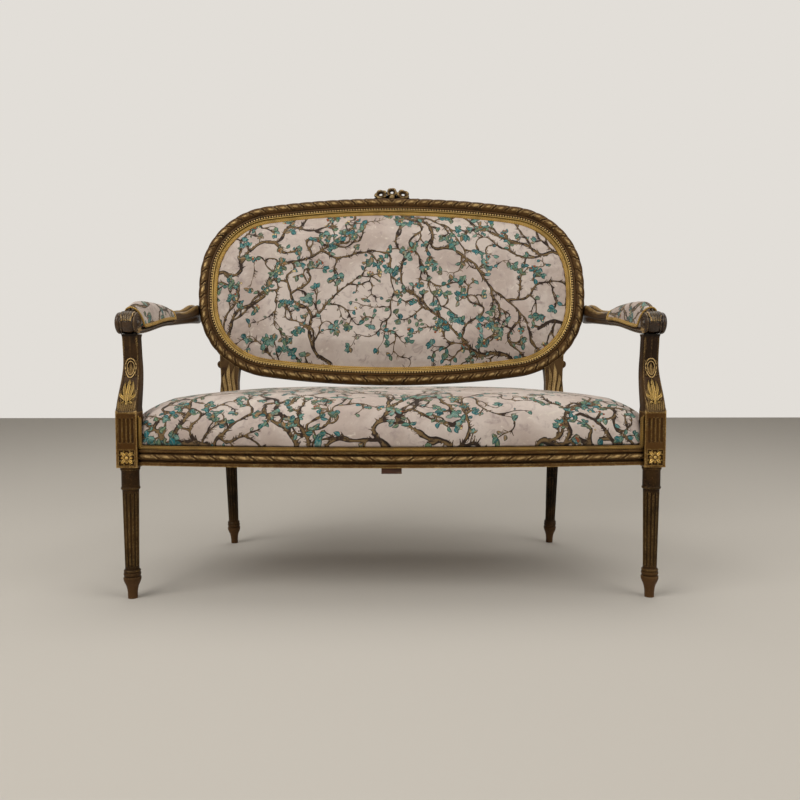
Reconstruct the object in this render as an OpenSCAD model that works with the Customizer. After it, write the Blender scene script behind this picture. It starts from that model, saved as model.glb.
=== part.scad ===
// Oval-backed show-wood settee with open padded arms, bowed front rail and turned, fluted legs.
// The front looks along -Y, X runs to the right of the photograph and Z is up.
// Bench lengths are measured from the line through the two front leg axes, and place() centres the piece.

/* [Seat frame] */
// Spacing of the two front leg axes
front_span = 1160; // [1100:10:1220]
// Spacing of the two rear leg axes
rear_span = 910; // [870:10:950]
// Distance from the front leg axes back to the rear leg axes, at the rails
seat_depth = 472; // [460:2:490]
// Height of the underside of the seat rails
rail_z = 300; // [290:1:310]
// Height of the seat rails
rail_h = 44; // [43.5:0.25:48]
// Thickness of the seat rails
rail_t = 28; // [26:0.5:30]
// Forward bow of the front rail at its middle
bow = 45; // [38:1:52]
// Length of the tenons on the rails
tenon_l = 19; // [15:0.5:20]
// Thickness of the tenons
tenon_t = 10; // [8:0.5:12]

/* [Rail moulding] */
// Height of the plain fillet along the bottom of the rails
fillet_h = 7; // [6:0.25:8]
// Height of the hollow above that fillet
hollow_h = 6.6; // [6:0.2:7]
// Depth of the hollow
hollow_d = 5; // [3.5:0.25:6]
// Radius of the rod that carries the ribbon carving
rod_r = 5.9; // [5.4:0.1:6]
// Height of the groove above the rod
groove_h = 2.4; // [1.8:0.1:3]
// Height of the rounded moulding under the braid
ovolo_h = 7.6; // [7:0.1:7.8]
// Depth of the rebate that the cover is tacked in
rebate_d = 3; // [2.5:0.1:3.2]

/* [Front legs] */
// Side of the square block above each front leg
block_w = 46; // [44:0.5:50]
// Height of that block
block_h = 122; // [112:1:130]
// How far the block stands down below the rails
block_drop = 4; // [2:0.5:6]
// Flutes on each carved face of the block
block_flutes = 4; // [3:1:5]
// Length of those flutes
block_flute_l = 56; // [46:1:60]
// Side of the sunk square that holds the rosette
rosette_w = 34; // [30:1:38]
// Depth of the sunk square
rosette_d = 2; // [1.5:0.25:3]

/* [Turning] */
// Height of the toupie foot
foot_h = 50; // [44:1:56]
// Largest radius of the foot
foot_r = 19.5; // [18:0.25:21]
// Height of the ring above the foot
ankle_h = 16; // [14:0.5:18]
// Radius of that ring
ankle_r = 19; // [18:0.25:20]
// Radius of the shaft above the ring
shaft_low_r = 15.2; // [14.5:0.1:16]
// Radius of the shaft at its top
shaft_top_r = 18; // [17:0.1:19]
// Height of the bead at the top of the shaft
bead_h = 7; // [6:0.25:8]
// Radius of that bead
bead_r = 21; // [20:0.25:22]
// Height of the neck above the bead
neck_h = 34; // [30:1:38]
// Radius of the neck
neck_r = 19.4; // [18.5:0.1:20]
// Height of the collar under the block
collar_h = 10; // [8:0.5:12]
// Flutes round each leg
leg_flutes = 12; // [10:1:14]
// Radius of those flutes
flute_r = 2.9; // [2.3:0.1:3.1]

/* [Rear legs and back] */
// Side of the square block on the rear legs
rear_block_w = 44; // [42:0.5:46]
// Distance that each rear foot stands behind its rail block
rear_splay = 44; // [34:1:50]
// Lean of the back, in degrees
rake = 12; // [10:0.5:14]
// Width of the stiles under the oval
stile_w = 50; // [46:1:54]
// Thickness of the stiles
stile_t = 30; // [26:1:32]
// Half of the width of the oval frame
oval_a = 549; // [530:1:560]
// Half of its height, along the lean
oval_b = 273; // [262:1:284]
// Height of the middle of the oval above the rails, along the lean
oval_v = 381; // [376:1:400]
// Radius of the rounded corners of the oval
corner_r = 215; // [205:1:225]
// Width of the moulded frame
ring_w = 48; // [46:0.5:52]
// Thickness of the moulded frame
ring_t = 34; // [32:0.5:37]
// Radius of the carved roll on its outer edge
roll_r = 11; // [10:0.25:11.5]

/* [Arms] */
// Spacing of the arms at their front scrolls
arm_span = 1174; // [1160:2:1184]
// Height of the underside of the arms at the front
arm_z = 590; // [580:1:604]
// Height of the underside of the arms at the oval
arm_back_z = 631; // [622:1:640]
// Width of the arms
arm_w = 38; // [35:0.5:41]
// Radius of the front scrolls
scroll_r = 24; // [22:0.5:26]
// Height of the top of the arm pads above the front underside
pad_top = 80; // [72:1:86]
// Width of the arm pads
pad_w = 44; // [42:0.5:48]

/* [Upholstery] */
// Height of the seat's crown above the rails
crown_h = 112; // [104:1:118]
// Height of the edge of the seat above the rails
edge_h = 66; // [60:1:72]
// Swell of the back pad in front of the frame's ledge
back_swell = 33; // [26:1:38]
// Thickness of the woven covers
cover_t = 1.8; // [1.4:0.1:2]
// Width of the gilt braid
braid_w = 8; // [7:0.25:8.25]
// Thickness of the gilt braid
braid_t = 3.2; // [2.6:0.1:3.4]
// Width of the jute straps
strap_w = 50; // [44:1:54]
// Thickness of the jute straps
strap_t = 1.5; // [1:0.1:1.8]
// Springs along the seat
springs_x = 4; // [3:1:5]
// Springs from front to back
springs_y = 3; // [2:1:3]
// Radius of each spring at its ends
spring_r = 38; // [32:1:42]
// Height of each spring
spring_h = 98; // [90:1:99]
// Radius of the spring wire
wire_r = 1.9; // [1.6:0.1:2.2]
// Turns in each spring
spring_turns = 4.5; // [4:0.5:5]

/* [Hidden] */

gilt = [0.36, 0.28, 0.15];
bare_wood = [0.45, 0.31, 0.19];
braid_gold = [0.52, 0.40, 0.10];
cloth = [0.72, 0.67, 0.64];
jute = [0.60, 0.47, 0.30];
hair = [0.33, 0.25, 0.18];
steel = [0.45, 0.45, 0.46];
brass_yellow = [0.60, 0.47, 0.20];

// Clearance round a dowel, tenon or screw
fit_gap = 0.15;
// Clearance between pieces that lie against each other
lie_gap = 0.2;
// Clearance between a woven cover and the stuffing in it
soft_gap = 0.4;
// Overrun of every cut past the face that it opens
over = 1;

leg_h = rail_z - block_drop;
block_top = leg_h + block_h;
rail_top = rail_z + rail_h;
half_front = front_span / 2;
half_rear = rear_span / 2;
side_a = atan((half_front - half_rear) / seat_depth);
half_chord = half_front - block_w / 2;
rail_r = (half_chord * half_chord + bow * bow) / (2 * bow);
rail_face_y = -rail_t / 2;
rail_arc_y = rail_face_y - bow + rail_r;
rail_arc_a = asin(half_chord / rail_r);
rod_z = fillet_h + hollow_h + rod_r;
ovolo_z = rod_z + rod_r + groove_h;
rebate_z = ovolo_z + ovolo_h;

// Oval outline: a side arc, a corner arc and a long arc in each quarter, all tangent.
side_deg = 6;
long_deg = 82;
side_r = let(
    p = 1 - cos(side_deg), q = cos(long_deg), s = sin(side_deg), t = 1 - sin(long_deg),
    u = oval_a - corner_r * (cos(side_deg) - cos(long_deg)),
    w = oval_b - corner_r * (sin(long_deg) - sin(side_deg)))
    (u * t - q * w) / (p * t - q * s);
long_r = let(
    q = cos(long_deg), p = 1 - cos(side_deg),
    u = oval_a - corner_r * (cos(side_deg) - cos(long_deg)))
    (u - side_r * p) / q;
side_c = [oval_a - side_r, 0];
corner_c = side_c + (side_r - corner_r) * [cos(side_deg), sin(side_deg)];
long_c = [0, oval_b - long_r];

// Point of the oval at a normal angle from -180 to 180, drawn in by inset.
function oval_point(deg, inset) = let(
    n = [cos(deg), sin(deg)],
    sx = deg > 90 || deg < -90 ? -1 : 1,
    sy = deg < 0 ? -1 : 1,
    up = asin(abs(sin(deg))),
    c = up < side_deg ? side_c : up < long_deg ? corner_c : long_c,
    r = up < side_deg ? side_r : up < long_deg ? corner_r : long_r)
    [c[0] * sx, c[1] * sy] + (r - inset) * n;

// Normal angles that spread points evenly enough along the oval.
oval_degs = let(
    quarter = concat([0, 3, side_deg], [for (k = [1:6]) side_deg + (long_deg - side_deg) * k / 7],
        [long_deg, 83.6, 85.2, 86.8, 88.4]))
    concat(quarter, [90], [for (k = [len(quarter) - 1:-1:1]) 180 - quarter[k]],
        [180], [for (k = [1:len(quarter) - 1]) -180 + quarter[k]],
        [-90], [for (k = [len(quarter) - 1:-1:1]) -quarter[k]]);
function oval_outline(inset) = [for (d = oval_degs) oval_point(d, inset)];

back_lift = 8;
back_set = 10;
// Carries a piece drawn in the plane of the back: x across, y up the lean and z towards the front.
module on_back() {
    translate([0, seat_depth - back_set, rail_top + back_lift])
        rotate([90 - rake, 0, 0])
            translate([0, oval_v, -ring_t / 2])
                children();
}

rod_seat = 0.2;
pad_in = 3;
seat_swell = 5;
rod_stand = rod_r - hollow_d + rod_seat;
// Depth of the whole settee, from the bow of the front rail to the top edge of the oval.
front_y = rail_face_y - bow - max(rod_stand, seat_swell - pad_in);
rear_y = seat_depth - back_set + (oval_v + oval_b) * sin(rake) + ring_t / 2 * cos(rake);

// Moves the bench frame so that the settee's middle stands over the origin.
module place() {
    translate([0, -(front_y + rear_y) / 2, 0]) children();
}

module both_sides(side) {
    if (side > 0) children();
    else mirror([1, 0, 0]) children();
}

// Closed skin over a list of rings that all have the same number of points.
module skin(rings) {
    n = len(rings[0]);
    m = len(rings);
    polyhedron(
        points = [for (r = rings) each r],
        faces = concat(
            [for (k = [0:m - 2]) for (i = [0:n - 1]) let(j = (i + 1) % n)
                each [[k * n + i, (k + 1) * n + j, k * n + j], [k * n + i, (k + 1) * n + i, (k + 1) * n + j]]],
            [for (i = [1:n - 2]) [0, i, i + 1]],
            [for (i = [1:n - 2]) let(b = (m - 1) * n) [b, b + i + 1, b + i]]));
}

// Closed skin of a hollow cap: outer rings up to a pole, inner rings up to another, and a rim between.
module cap_skin(outer, outer_pole, inner, inner_pole) {
    n = len(outer[0]);
    mo = len(outer);
    mi = len(inner);
    pole = (mo + mi) * n;
    polyhedron(
        points = concat([for (r = outer) each r], [for (r = inner) each r], [outer_pole, inner_pole]),
        faces = concat(
            [for (k = [0:mo - 2]) for (i = [0:n - 1]) let(j = (i + 1) % n)
                each [[k * n + i, (k + 1) * n + j, k * n + j], [k * n + i, (k + 1) * n + i, (k + 1) * n + j]]],
            [for (i = [0:n - 1]) [(mo - 1) * n + i, pole, (mo - 1) * n + (i + 1) % n]],
            [for (k = [mo:mo + mi - 2]) for (i = [0:n - 1]) let(j = (i + 1) % n)
                each [[k * n + i, k * n + j, (k + 1) * n + j], [k * n + i, (k + 1) * n + j, (k + 1) * n + i]]],
            [for (i = [0:n - 1]) [(mo + mi - 1) * n + i, (mo + mi - 1) * n + (i + 1) % n, pole + 1]],
            [for (i = [0:n - 1]) let(j = (i + 1) % n)
                each [[i, j, mo * n + j], [i, mo * n + j, mo * n + i]]]));
}

// Rounded rectangle of 16 points about the origin.
function rounded(w, h, r) = [for (q = [0:3]) for (k = [0:3]) let(
    sx = q == 0 || q == 3 ? 1 : -1, sy = q < 2 ? 1 : -1, a = 90 * q + 30 * k)
    [sx * (w / 2 - r) + r * cos(a), sy * (h / 2 - r) + r * sin(a)]];

// Smooth step from 0 to 1 as t goes from a to b.
function ease(t, a, b) = let(s = min(1, max(0, (t - a) / (b - a)))) s * s * (3 - 2 * s);

// Turned leg, from the floor to the block, along +Z.
foot_shares = [[0, 0.54], [0.26, 0.56], [0.44, 0.61], [0.58, 0.71], [0.72, 0.87], [0.83, 0.97], [0.92, 1],
    [0.98, 0.95], [1, 0.84]];
ankle_shares = [[0, 0.84], [0.1, 0.93], [0.3, 1], [0.5, 0.97], [0.58, 0.89], [0.66, 0.95], [0.84, 0.97],
    [1, 0.86]];
bead_shares = [[0, 0.88], [0.25, 0.98], [0.5, 1], [0.75, 0.98], [1, 0.93]];
collar_shares = [[0, 0.93], [0.35, 0.96], [0.4, 1.02], [1, 1.02]];
function steps(shares, z, h, r) = [for (s = shares) [r * s[1], z + h * s[0]]];
module turned_leg(size) {
    shaft_z = foot_h + ankle_h;
    bead_z = leg_h - collar_h - neck_h - bead_h;
    low = shaft_low_r * size;
    high = shaft_top_r * size;
    lean = atan((high - low) / (bead_z - shaft_z));
    flute_l = bead_z - shaft_z - 4 * flute_r;
    difference() {
        rotate_extrude($fn = 96)
            polygon(concat([[0, 0]],
                steps(foot_shares, 0, foot_h, foot_r * size),
                steps(ankle_shares, foot_h, ankle_h, ankle_r * size),
                [[low, shaft_z], [high, bead_z]],
                steps(bead_shares, bead_z, bead_h, bead_r * size),
                [[neck_r * size, bead_z + bead_h], [neck_r * size, leg_h - collar_h]],
                steps(collar_shares, leg_h - collar_h, collar_h, bead_r * size),
                [[0, leg_h]]));
        for (k = [0:leg_flutes - 1])
            rotate([0, 0, 360 / leg_flutes * (k + 0.5)])
                translate([low + flute_r * 0.28, 0, shaft_z + 2 * flute_r])
                    rotate([0, lean, 0])
                        flute(flute_l, flute_r * size * 0.9, flute_r * size);
    }
}

// Spindle that cuts one flute with rounded ends, along +Z.
module flute(l, r_low, r_high) {
    rotate_extrude($fn = 32)
        polygon([[0, 0], [r_low * 0.7, r_low * 0.3], [r_low, r_low], [r_high, l - r_high],
            [r_high * 0.7, l - r_high * 0.3], [0, l]]);
}

// Carved faces of the front leg block: flutes over a sunk rosette panel.
module block_face_cuts() {
    pitch = (block_w - 2 * block_edge) / block_flutes;
    for (k = [0:block_flutes - 1])
        translate([(k - (block_flutes - 1) / 2) * pitch, -block_w / 2 - pitch * 0.1, block_flute_z])
            flute(block_flute_l, pitch * 0.38, pitch * 0.38);
    difference() {
        translate([-rosette_w / 2, -block_w / 2 - over, leg_h + block_edge])
            cube([rosette_w, rosette_d + over, rosette_w]);
        translate([0, -block_w / 2 + rosette_d + over, leg_h + block_edge + rosette_w / 2])
            rotate([90, 0, 0])
                cylinder(h = rosette_d + over, r1 = rosette_w * 0.4, r2 = rosette_w * 0.34, $fn = 48);
    }
}
block_edge = 5;
block_flute_z = block_top - block_edge * 2.4 - block_flute_l;
dowel_r = 5;
dowel_l = 36;
back_dowel_r = 4;
screw_r = 2.1;

module front_leg(side) {
    color(gilt) both_sides(side) translate([half_front, 0, 0]) difference() {
        union() {
            turned_leg(1);
            translate([-block_w / 2, -block_w / 2, leg_h]) cube([block_w, block_w, block_h]);
        }
        block_face_cuts();
        rotate([0, 0, 90]) block_face_cuts();
        translate([0, support_base_y, block_top - dowel_l / 2 - over])
            cylinder(h = dowel_l, r = dowel_r + fit_gap, $fn = 32);
        front_tenon_solid(fit_gap);
        translate([-half_front, 0, 0]) side_tenons(fit_gap);
    }
}

// Tenon of the front rail, seen from the axis of the right front leg.
tenon_edge = 6;
tenon_h = rail_h / 2 - tenon_edge - 1;
module front_tenon_solid(gap) {
    translate([-block_w / 2 - over, -tenon_t / 2 - gap, rail_z + tenon_edge - gap])
        cube([over + tenon_l + (gap > 0 ? fit_gap : 0), tenon_t + 2 * gap, tenon_h + 2 * gap]);
}

// Profile of the moulded rails: x is 0 at the outer face and y runs up from the underside.
module rail_profile() {
    union() {
        polygon([[-rail_t, 0], [0, 0], [0, fillet_h], [-hollow_d * 0.5, fillet_h + hollow_h * 0.12],
            [-hollow_d, fillet_h + hollow_h * 0.5], [-hollow_d, ovolo_z - groove_h * 0.2],
            [-hollow_d * 0.5, ovolo_z], [-hollow_d * 0.16, ovolo_z + ovolo_h * 0.25],
            [0, ovolo_z + ovolo_h * 0.55], [-hollow_d * 0.1, ovolo_z + ovolo_h * 0.85],
            [-hollow_d * 0.3, rebate_z], [-rebate_d, rebate_z], [-rebate_d, rail_h], [-rail_t, rail_h]]);
        translate([-hollow_d + rod_seat, rod_z]) circle(r = rod_r, $fn = 48);
    }
}

module front_rail() {
    color(gilt) difference() {
        union() {
            intersection() {
                translate([0, rail_arc_y, rail_z])
                    rotate([0, 0, -90 - rail_arc_a - 1])
                        rotate_extrude(angle = 2 * rail_arc_a + 2, $fn = 360)
                            translate([rail_r, 0]) rail_profile();
                translate([-half_chord, front_y - over, rail_z - over])
                    cube([2 * half_chord, block_w - front_y, rail_h + 2 * over]);
            }
            for (side = [-1, 1]) both_sides(side) translate([half_front, 0, 0]) front_tenon_solid(0);
        }
        corner_screw_holes();
        batten_screws_at() cylinder(h = batten_screw_l, r = screw_r, $fn = 24);
    }
}

// Places along the right side rail: y runs back along the rail from the front leg axis, x is across it.
module along_side() {
    translate([half_front, 0, 0]) rotate([0, 0, side_a]) children();
}
side_l = seat_depth / cos(side_a);
rear_face_y = seat_depth - rear_block_w / 2;
module side_tenons(gap) {
    intersection() {
        along_side()
            translate([-tenon_t / 2 - gap, 0, rail_z + rail_h / 2 + 1 - gap])
                cube([tenon_t + 2 * gap, side_l, tenon_h + 2 * gap]);
        translate([0, block_w / 2 - tenon_l - gap, rail_z])
            cube([front_span, rear_face_y + tenon_l + gap - (block_w / 2 - tenon_l - gap), rail_h]);
    }
}

module side_rail(side) {
    color(gilt) both_sides(side) difference() {
        union() {
            intersection() {
                along_side() translate([0, side_l + rail_t, rail_z]) rotate([90, 0, 0])
                    linear_extrude(height = side_l + 2 * rail_t) translate([rail_t / 2, 0]) rail_profile();
                translate([0, block_w / 2, rail_z - over])
                    cube([front_span, rear_face_y - block_w / 2, rail_h + 2 * over]);
            }
            side_tenons(0);
        }
        corner_screw_holes();
    }
}

module rear_tenon_solid(gap) {
    translate([half_rear - rear_block_w / 2 - over, seat_depth - tenon_t / 2 - gap, rail_z + tenon_edge - gap])
        cube([over + tenon_l * 0.8 + gap, tenon_t + 2 * gap, tenon_h + 2 * gap]);
}

module rear_rail() {
    half = half_rear - rear_block_w / 2;
    color(gilt) difference() {
        union() {
            translate([-half, seat_depth - rail_t / 2, rail_z]) cube([2 * half, rail_t, rail_h]);
            for (side = [-1, 1]) both_sides(side) rear_tenon_solid(0);
        }
        translate([-half - over, seat_depth + rail_t / 2 - rebate_d, rail_z + rebate_z])
            cube([2 * half + 2 * over, rebate_d + over, rail_h]);
        corner_screw_holes();
        batten_screws_at() cylinder(h = batten_screw_l, r = screw_r, $fn = 24);
    }
}

// Rear leg and stile in one piece of wood, leaning back below and above the rail block.
rear_turning = 0.9;
module rear_leg(side) {
    lean = atan(rear_splay / leg_h);
    color(gilt) both_sides(side) difference() {
        union() {
            translate([half_rear, seat_depth, leg_h]) rotate([lean, 0, 0])
                translate([0, 0, -leg_h / cos(lean)]) {
                    scale([1, 1, 1 / cos(lean)]) turned_leg(rear_turning);
                    translate([0, 0, -foot_r])
                        cylinder(h = foot_r + over, r = foot_r * rear_turning * foot_shares[0][1], $fn = 96);
                }
            translate([half_rear - rear_block_w / 2, seat_depth - rear_block_w / 2, leg_h])
                cube([rear_block_w, rear_block_w, rail_top - leg_h]);
            on_back() translate([half_rear, -oval_v, ring_t / 2 - stile_t / 2])
                linear_extrude(height = stile_t) stile_outline();
        }
        translate([half_rear - stile_w, 0, -2 * foot_r]) cube([2 * stile_w, 2 * seat_depth, 2 * foot_r]);
        on_back() translate([0, 0, -over]) linear_extrude(height = ring_t + 2 * over)
            polygon(oval_outline(-lie_gap));
        side_tenons(fit_gap);
        rear_tenon_solid(fit_gap);
        stile_dowel(dowel_r + fit_gap);
    }
}
stile_half_shares = [[-0.04, 0.43], [0.03, 0.44], [0.12, 0.45], [0.25, 0.48], [0.4, 0.5], [0.55, 0.49],
    [0.7, 0.47], [0.85, 0.5], [1, 0.56], [1.25, 0.6]];
stile_l = oval_v - oval_b * 0.78;
module stile_outline() {
    edge = [for (s = stile_half_shares) [s[1] * stile_w, s[0] * stile_l]];
    polygon(concat(edge, [for (k = [len(edge) - 1:-1:0]) [-edge[k][0], edge[k][1]]]));
}
stile_dowel_deg = -52;
module stile_dowel(r) {
    foot = oval_point(stile_dowel_deg, 0);
    on_back() translate([foot[0], foot[1] - dowel_l / 2, ring_t / 2]) rotate([-90, 0, 0])
        cylinder(h = dowel_l, r = r, $fn = 32);
}
module stile_dowels() {
    color(bare_wood) for (side = [-1, 1]) both_sides(side) stile_dowel(dowel_r);
}

// Glue blocks inside the four corners of the seat frame, each held by two screws.
glue_w = 62;
glue_h = 34;
glue_screw_l = 30;
inner_side_x = rail_t / 2 / cos(side_a);
function side_inner_x(y) = half_front - inner_side_x - y * tan(side_a);
module glue_block_front() {
    y0 = -rail_t;
    intersection() {
        translate([0, 0, rail_z + block_edge]) linear_extrude(height = glue_h) difference() {
            polygon([[side_inner_x(y0) - lie_gap - glue_w * 1.6, y0], [side_inner_x(y0) - lie_gap, y0],
                [side_inner_x(glue_w * 1.5) - lie_gap, glue_w * 1.5]]);
            translate([half_chord - lie_gap, -block_w]) square([block_w, block_w * 1.5 + lie_gap]);
        }
        translate([0, rail_arc_y, 0]) cylinder(h = rail_top, r = rail_r - rail_t - lie_gap, $fn = 360);
    }
}
module glue_block_rear() {
    y1 = seat_depth - rail_t / 2 - lie_gap;
    translate([0, 0, rail_z + block_edge]) linear_extrude(height = glue_h) difference() {
        polygon([[half_rear - rear_block_w / 2 - glue_w, y1], [side_inner_x(y1) - lie_gap, y1],
            [side_inner_x(y1 - glue_w) - lie_gap, y1 - glue_w]]);
        translate([half_rear - rear_block_w / 2 - lie_gap, rear_face_y - lie_gap]) square([block_w, block_w]);
    }
}
// Screws through the glue blocks: [x, y, heading in degrees] of each head, on the right side.
glue_screw_spots = [
    [half_chord - glue_w * 0.62, rail_t / 2 + glue_w * 0.26, -90 + rail_arc_a],
    [side_inner_x(glue_w) - glue_w * 0.3, glue_w * 0.86, side_a],
    [half_rear - rear_block_w / 2 - glue_w * 0.3, seat_depth - rail_t / 2 - glue_w * 0.36, 90],
    [side_inner_x(rear_face_y - glue_w * 0.3) - glue_w * 0.36, rear_face_y - glue_w * 0.36, side_a]];
module corner_screws_at() {
    for (side = [-1, 1]) both_sides(side) for (s = glue_screw_spots)
        translate([s[0], s[1], rail_z + block_edge + glue_h / 2]) rotate([0, 90, s[2]]) children();
}
module corner_screw_holes() {
    corner_screws_at() cylinder(h = glue_screw_l + fit_gap, r = screw_r + fit_gap, $fn = 24);
}
module wood_screw(l) {
    rotate_extrude($fn = 32)
        polygon([[0, 0], [screw_r * 1.9, 0], [screw_r, screw_r * 1.1], [screw_r, l - screw_r * 2], [0, l]]);
}
module corner_screws() {
    color(steel) corner_screws_at() wood_screw(glue_screw_l);
}
module corner_blocks() {
    color(bare_wood) difference() {
        for (side = [-1, 1]) both_sides(side) {
            glue_block_front();
            glue_block_rear();
        }
        corner_screw_holes();
        corner_screws_at() translate([0, 0, -glue_w])
            cylinder(h = glue_w + screw_r, r = screw_r * 2.2, $fn = 24);
    }
}

// Batten across the middle of the seat, lapped and screwed under the front and rear rails.
batten_w = 44;
batten_h = 13;
batten_front_y = rail_face_y - bow + 5;
batten_rear_y = seat_depth + rail_t / 2 - 5;
batten_screw_l = 30;
module batten_screws_at() {
    for (y = [batten_front_y + rail_t * 0.42, batten_rear_y - rail_t * 0.42]) for (x = [-1, 1] * batten_w / 4)
        translate([x, y, rail_z - batten_h]) children();
}
module centre_batten() {
    drop = 2 * strap_t + 2 * lie_gap;
    color(bare_wood) difference() {
        translate([-batten_w / 2, batten_front_y, rail_z - batten_h])
            cube([batten_w, batten_rear_y - batten_front_y, batten_h]);
        translate([-batten_w / 2 - over, batten_front_y + rail_t, rail_z - drop])
            cube([batten_w + 2 * over, batten_rear_y - batten_front_y - 2 * rail_t, drop + over]);
        batten_screws_at() {
            translate([0, 0, -over]) cylinder(h = batten_h + 2 * over, r = screw_r + fit_gap, $fn = 24);
            translate([0, 0, -over]) cylinder(h = over + screw_r * 1.2, r = screw_r * 2.1, $fn = 24);
        }
    }
}
module batten_screws() {
    color(steel) batten_screws_at() wood_screw(batten_screw_l);
}

// Curved arm supports that rise from the front leg blocks and sweep back.
support_base_y = 0;
support_sway = 42;
support_back = 4;
support_w = 34;
support_flat = 3;
function support_mid(t) = support_sway * ease(t, -0.12, 0.62) - support_back * ease(t, 0.6, 1);
function support_width(t) = block_w - 1 - (block_w - 1 - support_w) * ease(t, 0, 0.75);
module arm_support(side) {
    rise = arm_z - lie_gap - block_top;
    first = support_mid(0);
    color(gilt) both_sides(side) difference() {
        skin([for (k = [0:12]) let(
            t = k / 12,
            w = support_width(t),
            x = half_front + support_shift * t,
            y = support_mid(t) - first)
            [for (p = rounded(w, w, support_flat + w * 0.07)) [x + p[0], y + p[1], block_top + rise * t]]]);
        translate([half_front, support_base_y, block_top - over])
            cylinder(h = dowel_l / 2 + over, r = dowel_r + fit_gap, $fn = 32);
        support_top_dowel(dowel_r + fit_gap);
    }
}
support_shift = (arm_span - front_span) / 2 * 0.3;
support_top_y = support_mid(1) - support_mid(0);
module support_top_dowel(r) {
    translate([half_front + support_shift, support_top_y, arm_z - dowel_l / 2])
        cylinder(h = dowel_l, r = r, $fn = 32);
}
module support_dowels() {
    color(bare_wood) for (side = [-1, 1]) both_sides(side) {
        translate([half_front, support_base_y, block_top - dowel_l / 2])
            cylinder(h = dowel_l, r = dowel_r, $fn = 32);
        support_top_dowel(dowel_r);
    }
}

// Arms: y runs back from the scroll. Shares of the arm's length, its inward swing and its heights.
arm_end_h = 52;
arm_mid_h = 33;
arm_seat_h = 15;
arm_front_y = support_top_y;
arm_back_v = (arm_back_z + arm_end_h / 2 - rail_top - back_lift) / cos(rake);
arm_back_y = seat_depth - back_set + arm_back_v * sin(rake) + ring_t * 0.25;
arm_l = arm_back_y - arm_front_y;
arm_back_x = oval_point(-asin((oval_v - arm_back_v) / oval_b * 0.25), 0)[0] + arm_w * 0.42;
pad_start_share = 0.075;
pad_end_share = 0.545;
function arm_x(t) = arm_span / 2 - 3 - (arm_span / 2 - 3 - arm_back_x) * (0.35 * t + 0.65 * ease(t, 0.55, 1));
arm_rise_shares = [0.55, 0.15, 0.3];
function arm_low(t) = arm_z + (arm_back_z - arm_z)
    * (arm_rise_shares * [ease(t, 0, 0.5), t, ease(t, 0.4, 1)]);
function arm_high(t) = t < pad_start_share ? arm_low(t) + arm_mid_h
    : t < pad_end_share ? arm_low(t) + arm_seat_h
    : arm_low(t) + arm_mid_h + (arm_end_h - arm_mid_h) * ease(t, 0.74, 1);
arm_ts = [0, 0.04, pad_start_share - 0.004, pad_start_share, 0.12, 0.2, 0.3, 0.4, 0.5, pad_end_share - 0.004,
    pad_end_share, 0.62, 0.7, 0.78, 0.85, 0.91, 0.96, 1];
module arm(side) {
    color(gilt) both_sides(side) difference() {
        union() {
            skin([for (t = arm_ts) let(h = arm_high(t) - arm_low(t))
                [for (p = rounded(arm_w, h, min(h, arm_w) * 0.24))
                    [arm_x(t) + p[0], arm_front_y + arm_l * t - p[1] * tan(rake) * ease(t, 0.85, 1),
                        arm_low(t) + h / 2 - p[1]]]]);
            arm_scroll();
        }
        support_top_dowel(dowel_r + fit_gap);
        on_back() translate([0, 0, -ring_t]) linear_extrude(height = 3 * ring_t)
            polygon(oval_outline(-lie_gap));
        arm_dowel(back_dowel_r + fit_gap);
    }
}
// Rolled scroll at the front of an arm, with a smaller roll on its outer side.
scroll_out = 8;
module arm_scroll() {
    translate([arm_span / 2 - arm_w / 2, arm_front_y - support_back, arm_z + scroll_r]) rotate([0, 90, 0]) {
        cylinder(h = arm_w, r = scroll_r, $fn = 64);
        translate([0, 0, arm_w - over]) cylinder(h = scroll_out * 0.35 + over, r = scroll_r * 0.9, $fn = 64);
        translate([0, 0, arm_w + scroll_out * 0.35])
            cylinder(h = scroll_out * 0.65, r1 = scroll_r * 0.96, r2 = scroll_r * 0.72, $fn = 64);
    }
}
arm_dowel_deg = -8.5;
module arm_dowel(r) {
    p = oval_point(arm_dowel_deg, dowel_l / 2);
    on_back() translate([p[0], p[1], ring_t * 0.66]) rotate([0, 90, 0]) cylinder(h = dowel_l, r = r, $fn = 32);
}
module arm_dowels() {
    color(bare_wood) for (side = [-1, 1]) both_sides(side) arm_dowel(back_dowel_r);
}

// Moulded oval frame of the back. x is 0 on its outer edge and y runs from the back face to the front.
ledge_share = 0.47;
ledge_w = 12;
module ring_profile() {
    ledge = ring_t * ledge_share;
    lip = -ring_w + ledge_w;
    fillet = ring_w - ledge_w - 2 * roll_r;
    union() {
        polygon([[0, 0], [0, ring_t - roll_r],
            [-roll_r * 2, ring_t - roll_r], [-roll_r * 2, ring_t - roll_r * 0.6],
            [-roll_r * 2 - fillet * 0.12, ring_t - roll_r * 0.32],
            [lip + fillet * 0.5, ring_t - roll_r * 0.22], [lip + fillet * 0.42, ring_t - roll_r * 0.5],
            [lip, ring_t - roll_r * 0.5], [lip, ledge], [-ring_w, ledge], [-ring_w, 0]]);
        translate([-roll_r, ring_t - roll_r]) circle(r = roll_r, $fn = 64);
    }
}
module ring_arc(c, r, from, to) {
    translate([c[0], c[1], 0]) rotate([0, 0, from])
        rotate_extrude(angle = to - from, $fn = 360) translate([r, 0]) ring_profile();
}
module back_long_rail(up) {
    color(gilt) difference() {
        on_back() mirror([0, up > 0 ? 0 : 1, 0]) ring_arc(long_c, long_r, long_deg, 180 - long_deg);
        oval_dowels_at(fit_gap);
        if (up > 0) crest_dowel(dowel_r + fit_gap);
    }
}
module back_side(side) {
    color(gilt) both_sides(side) difference() {
        on_back() ring_arc(side_c, side_r, -side_deg, side_deg);
        oval_dowels_at(fit_gap);
        arm_dowel(back_dowel_r + fit_gap);
    }
}
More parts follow.
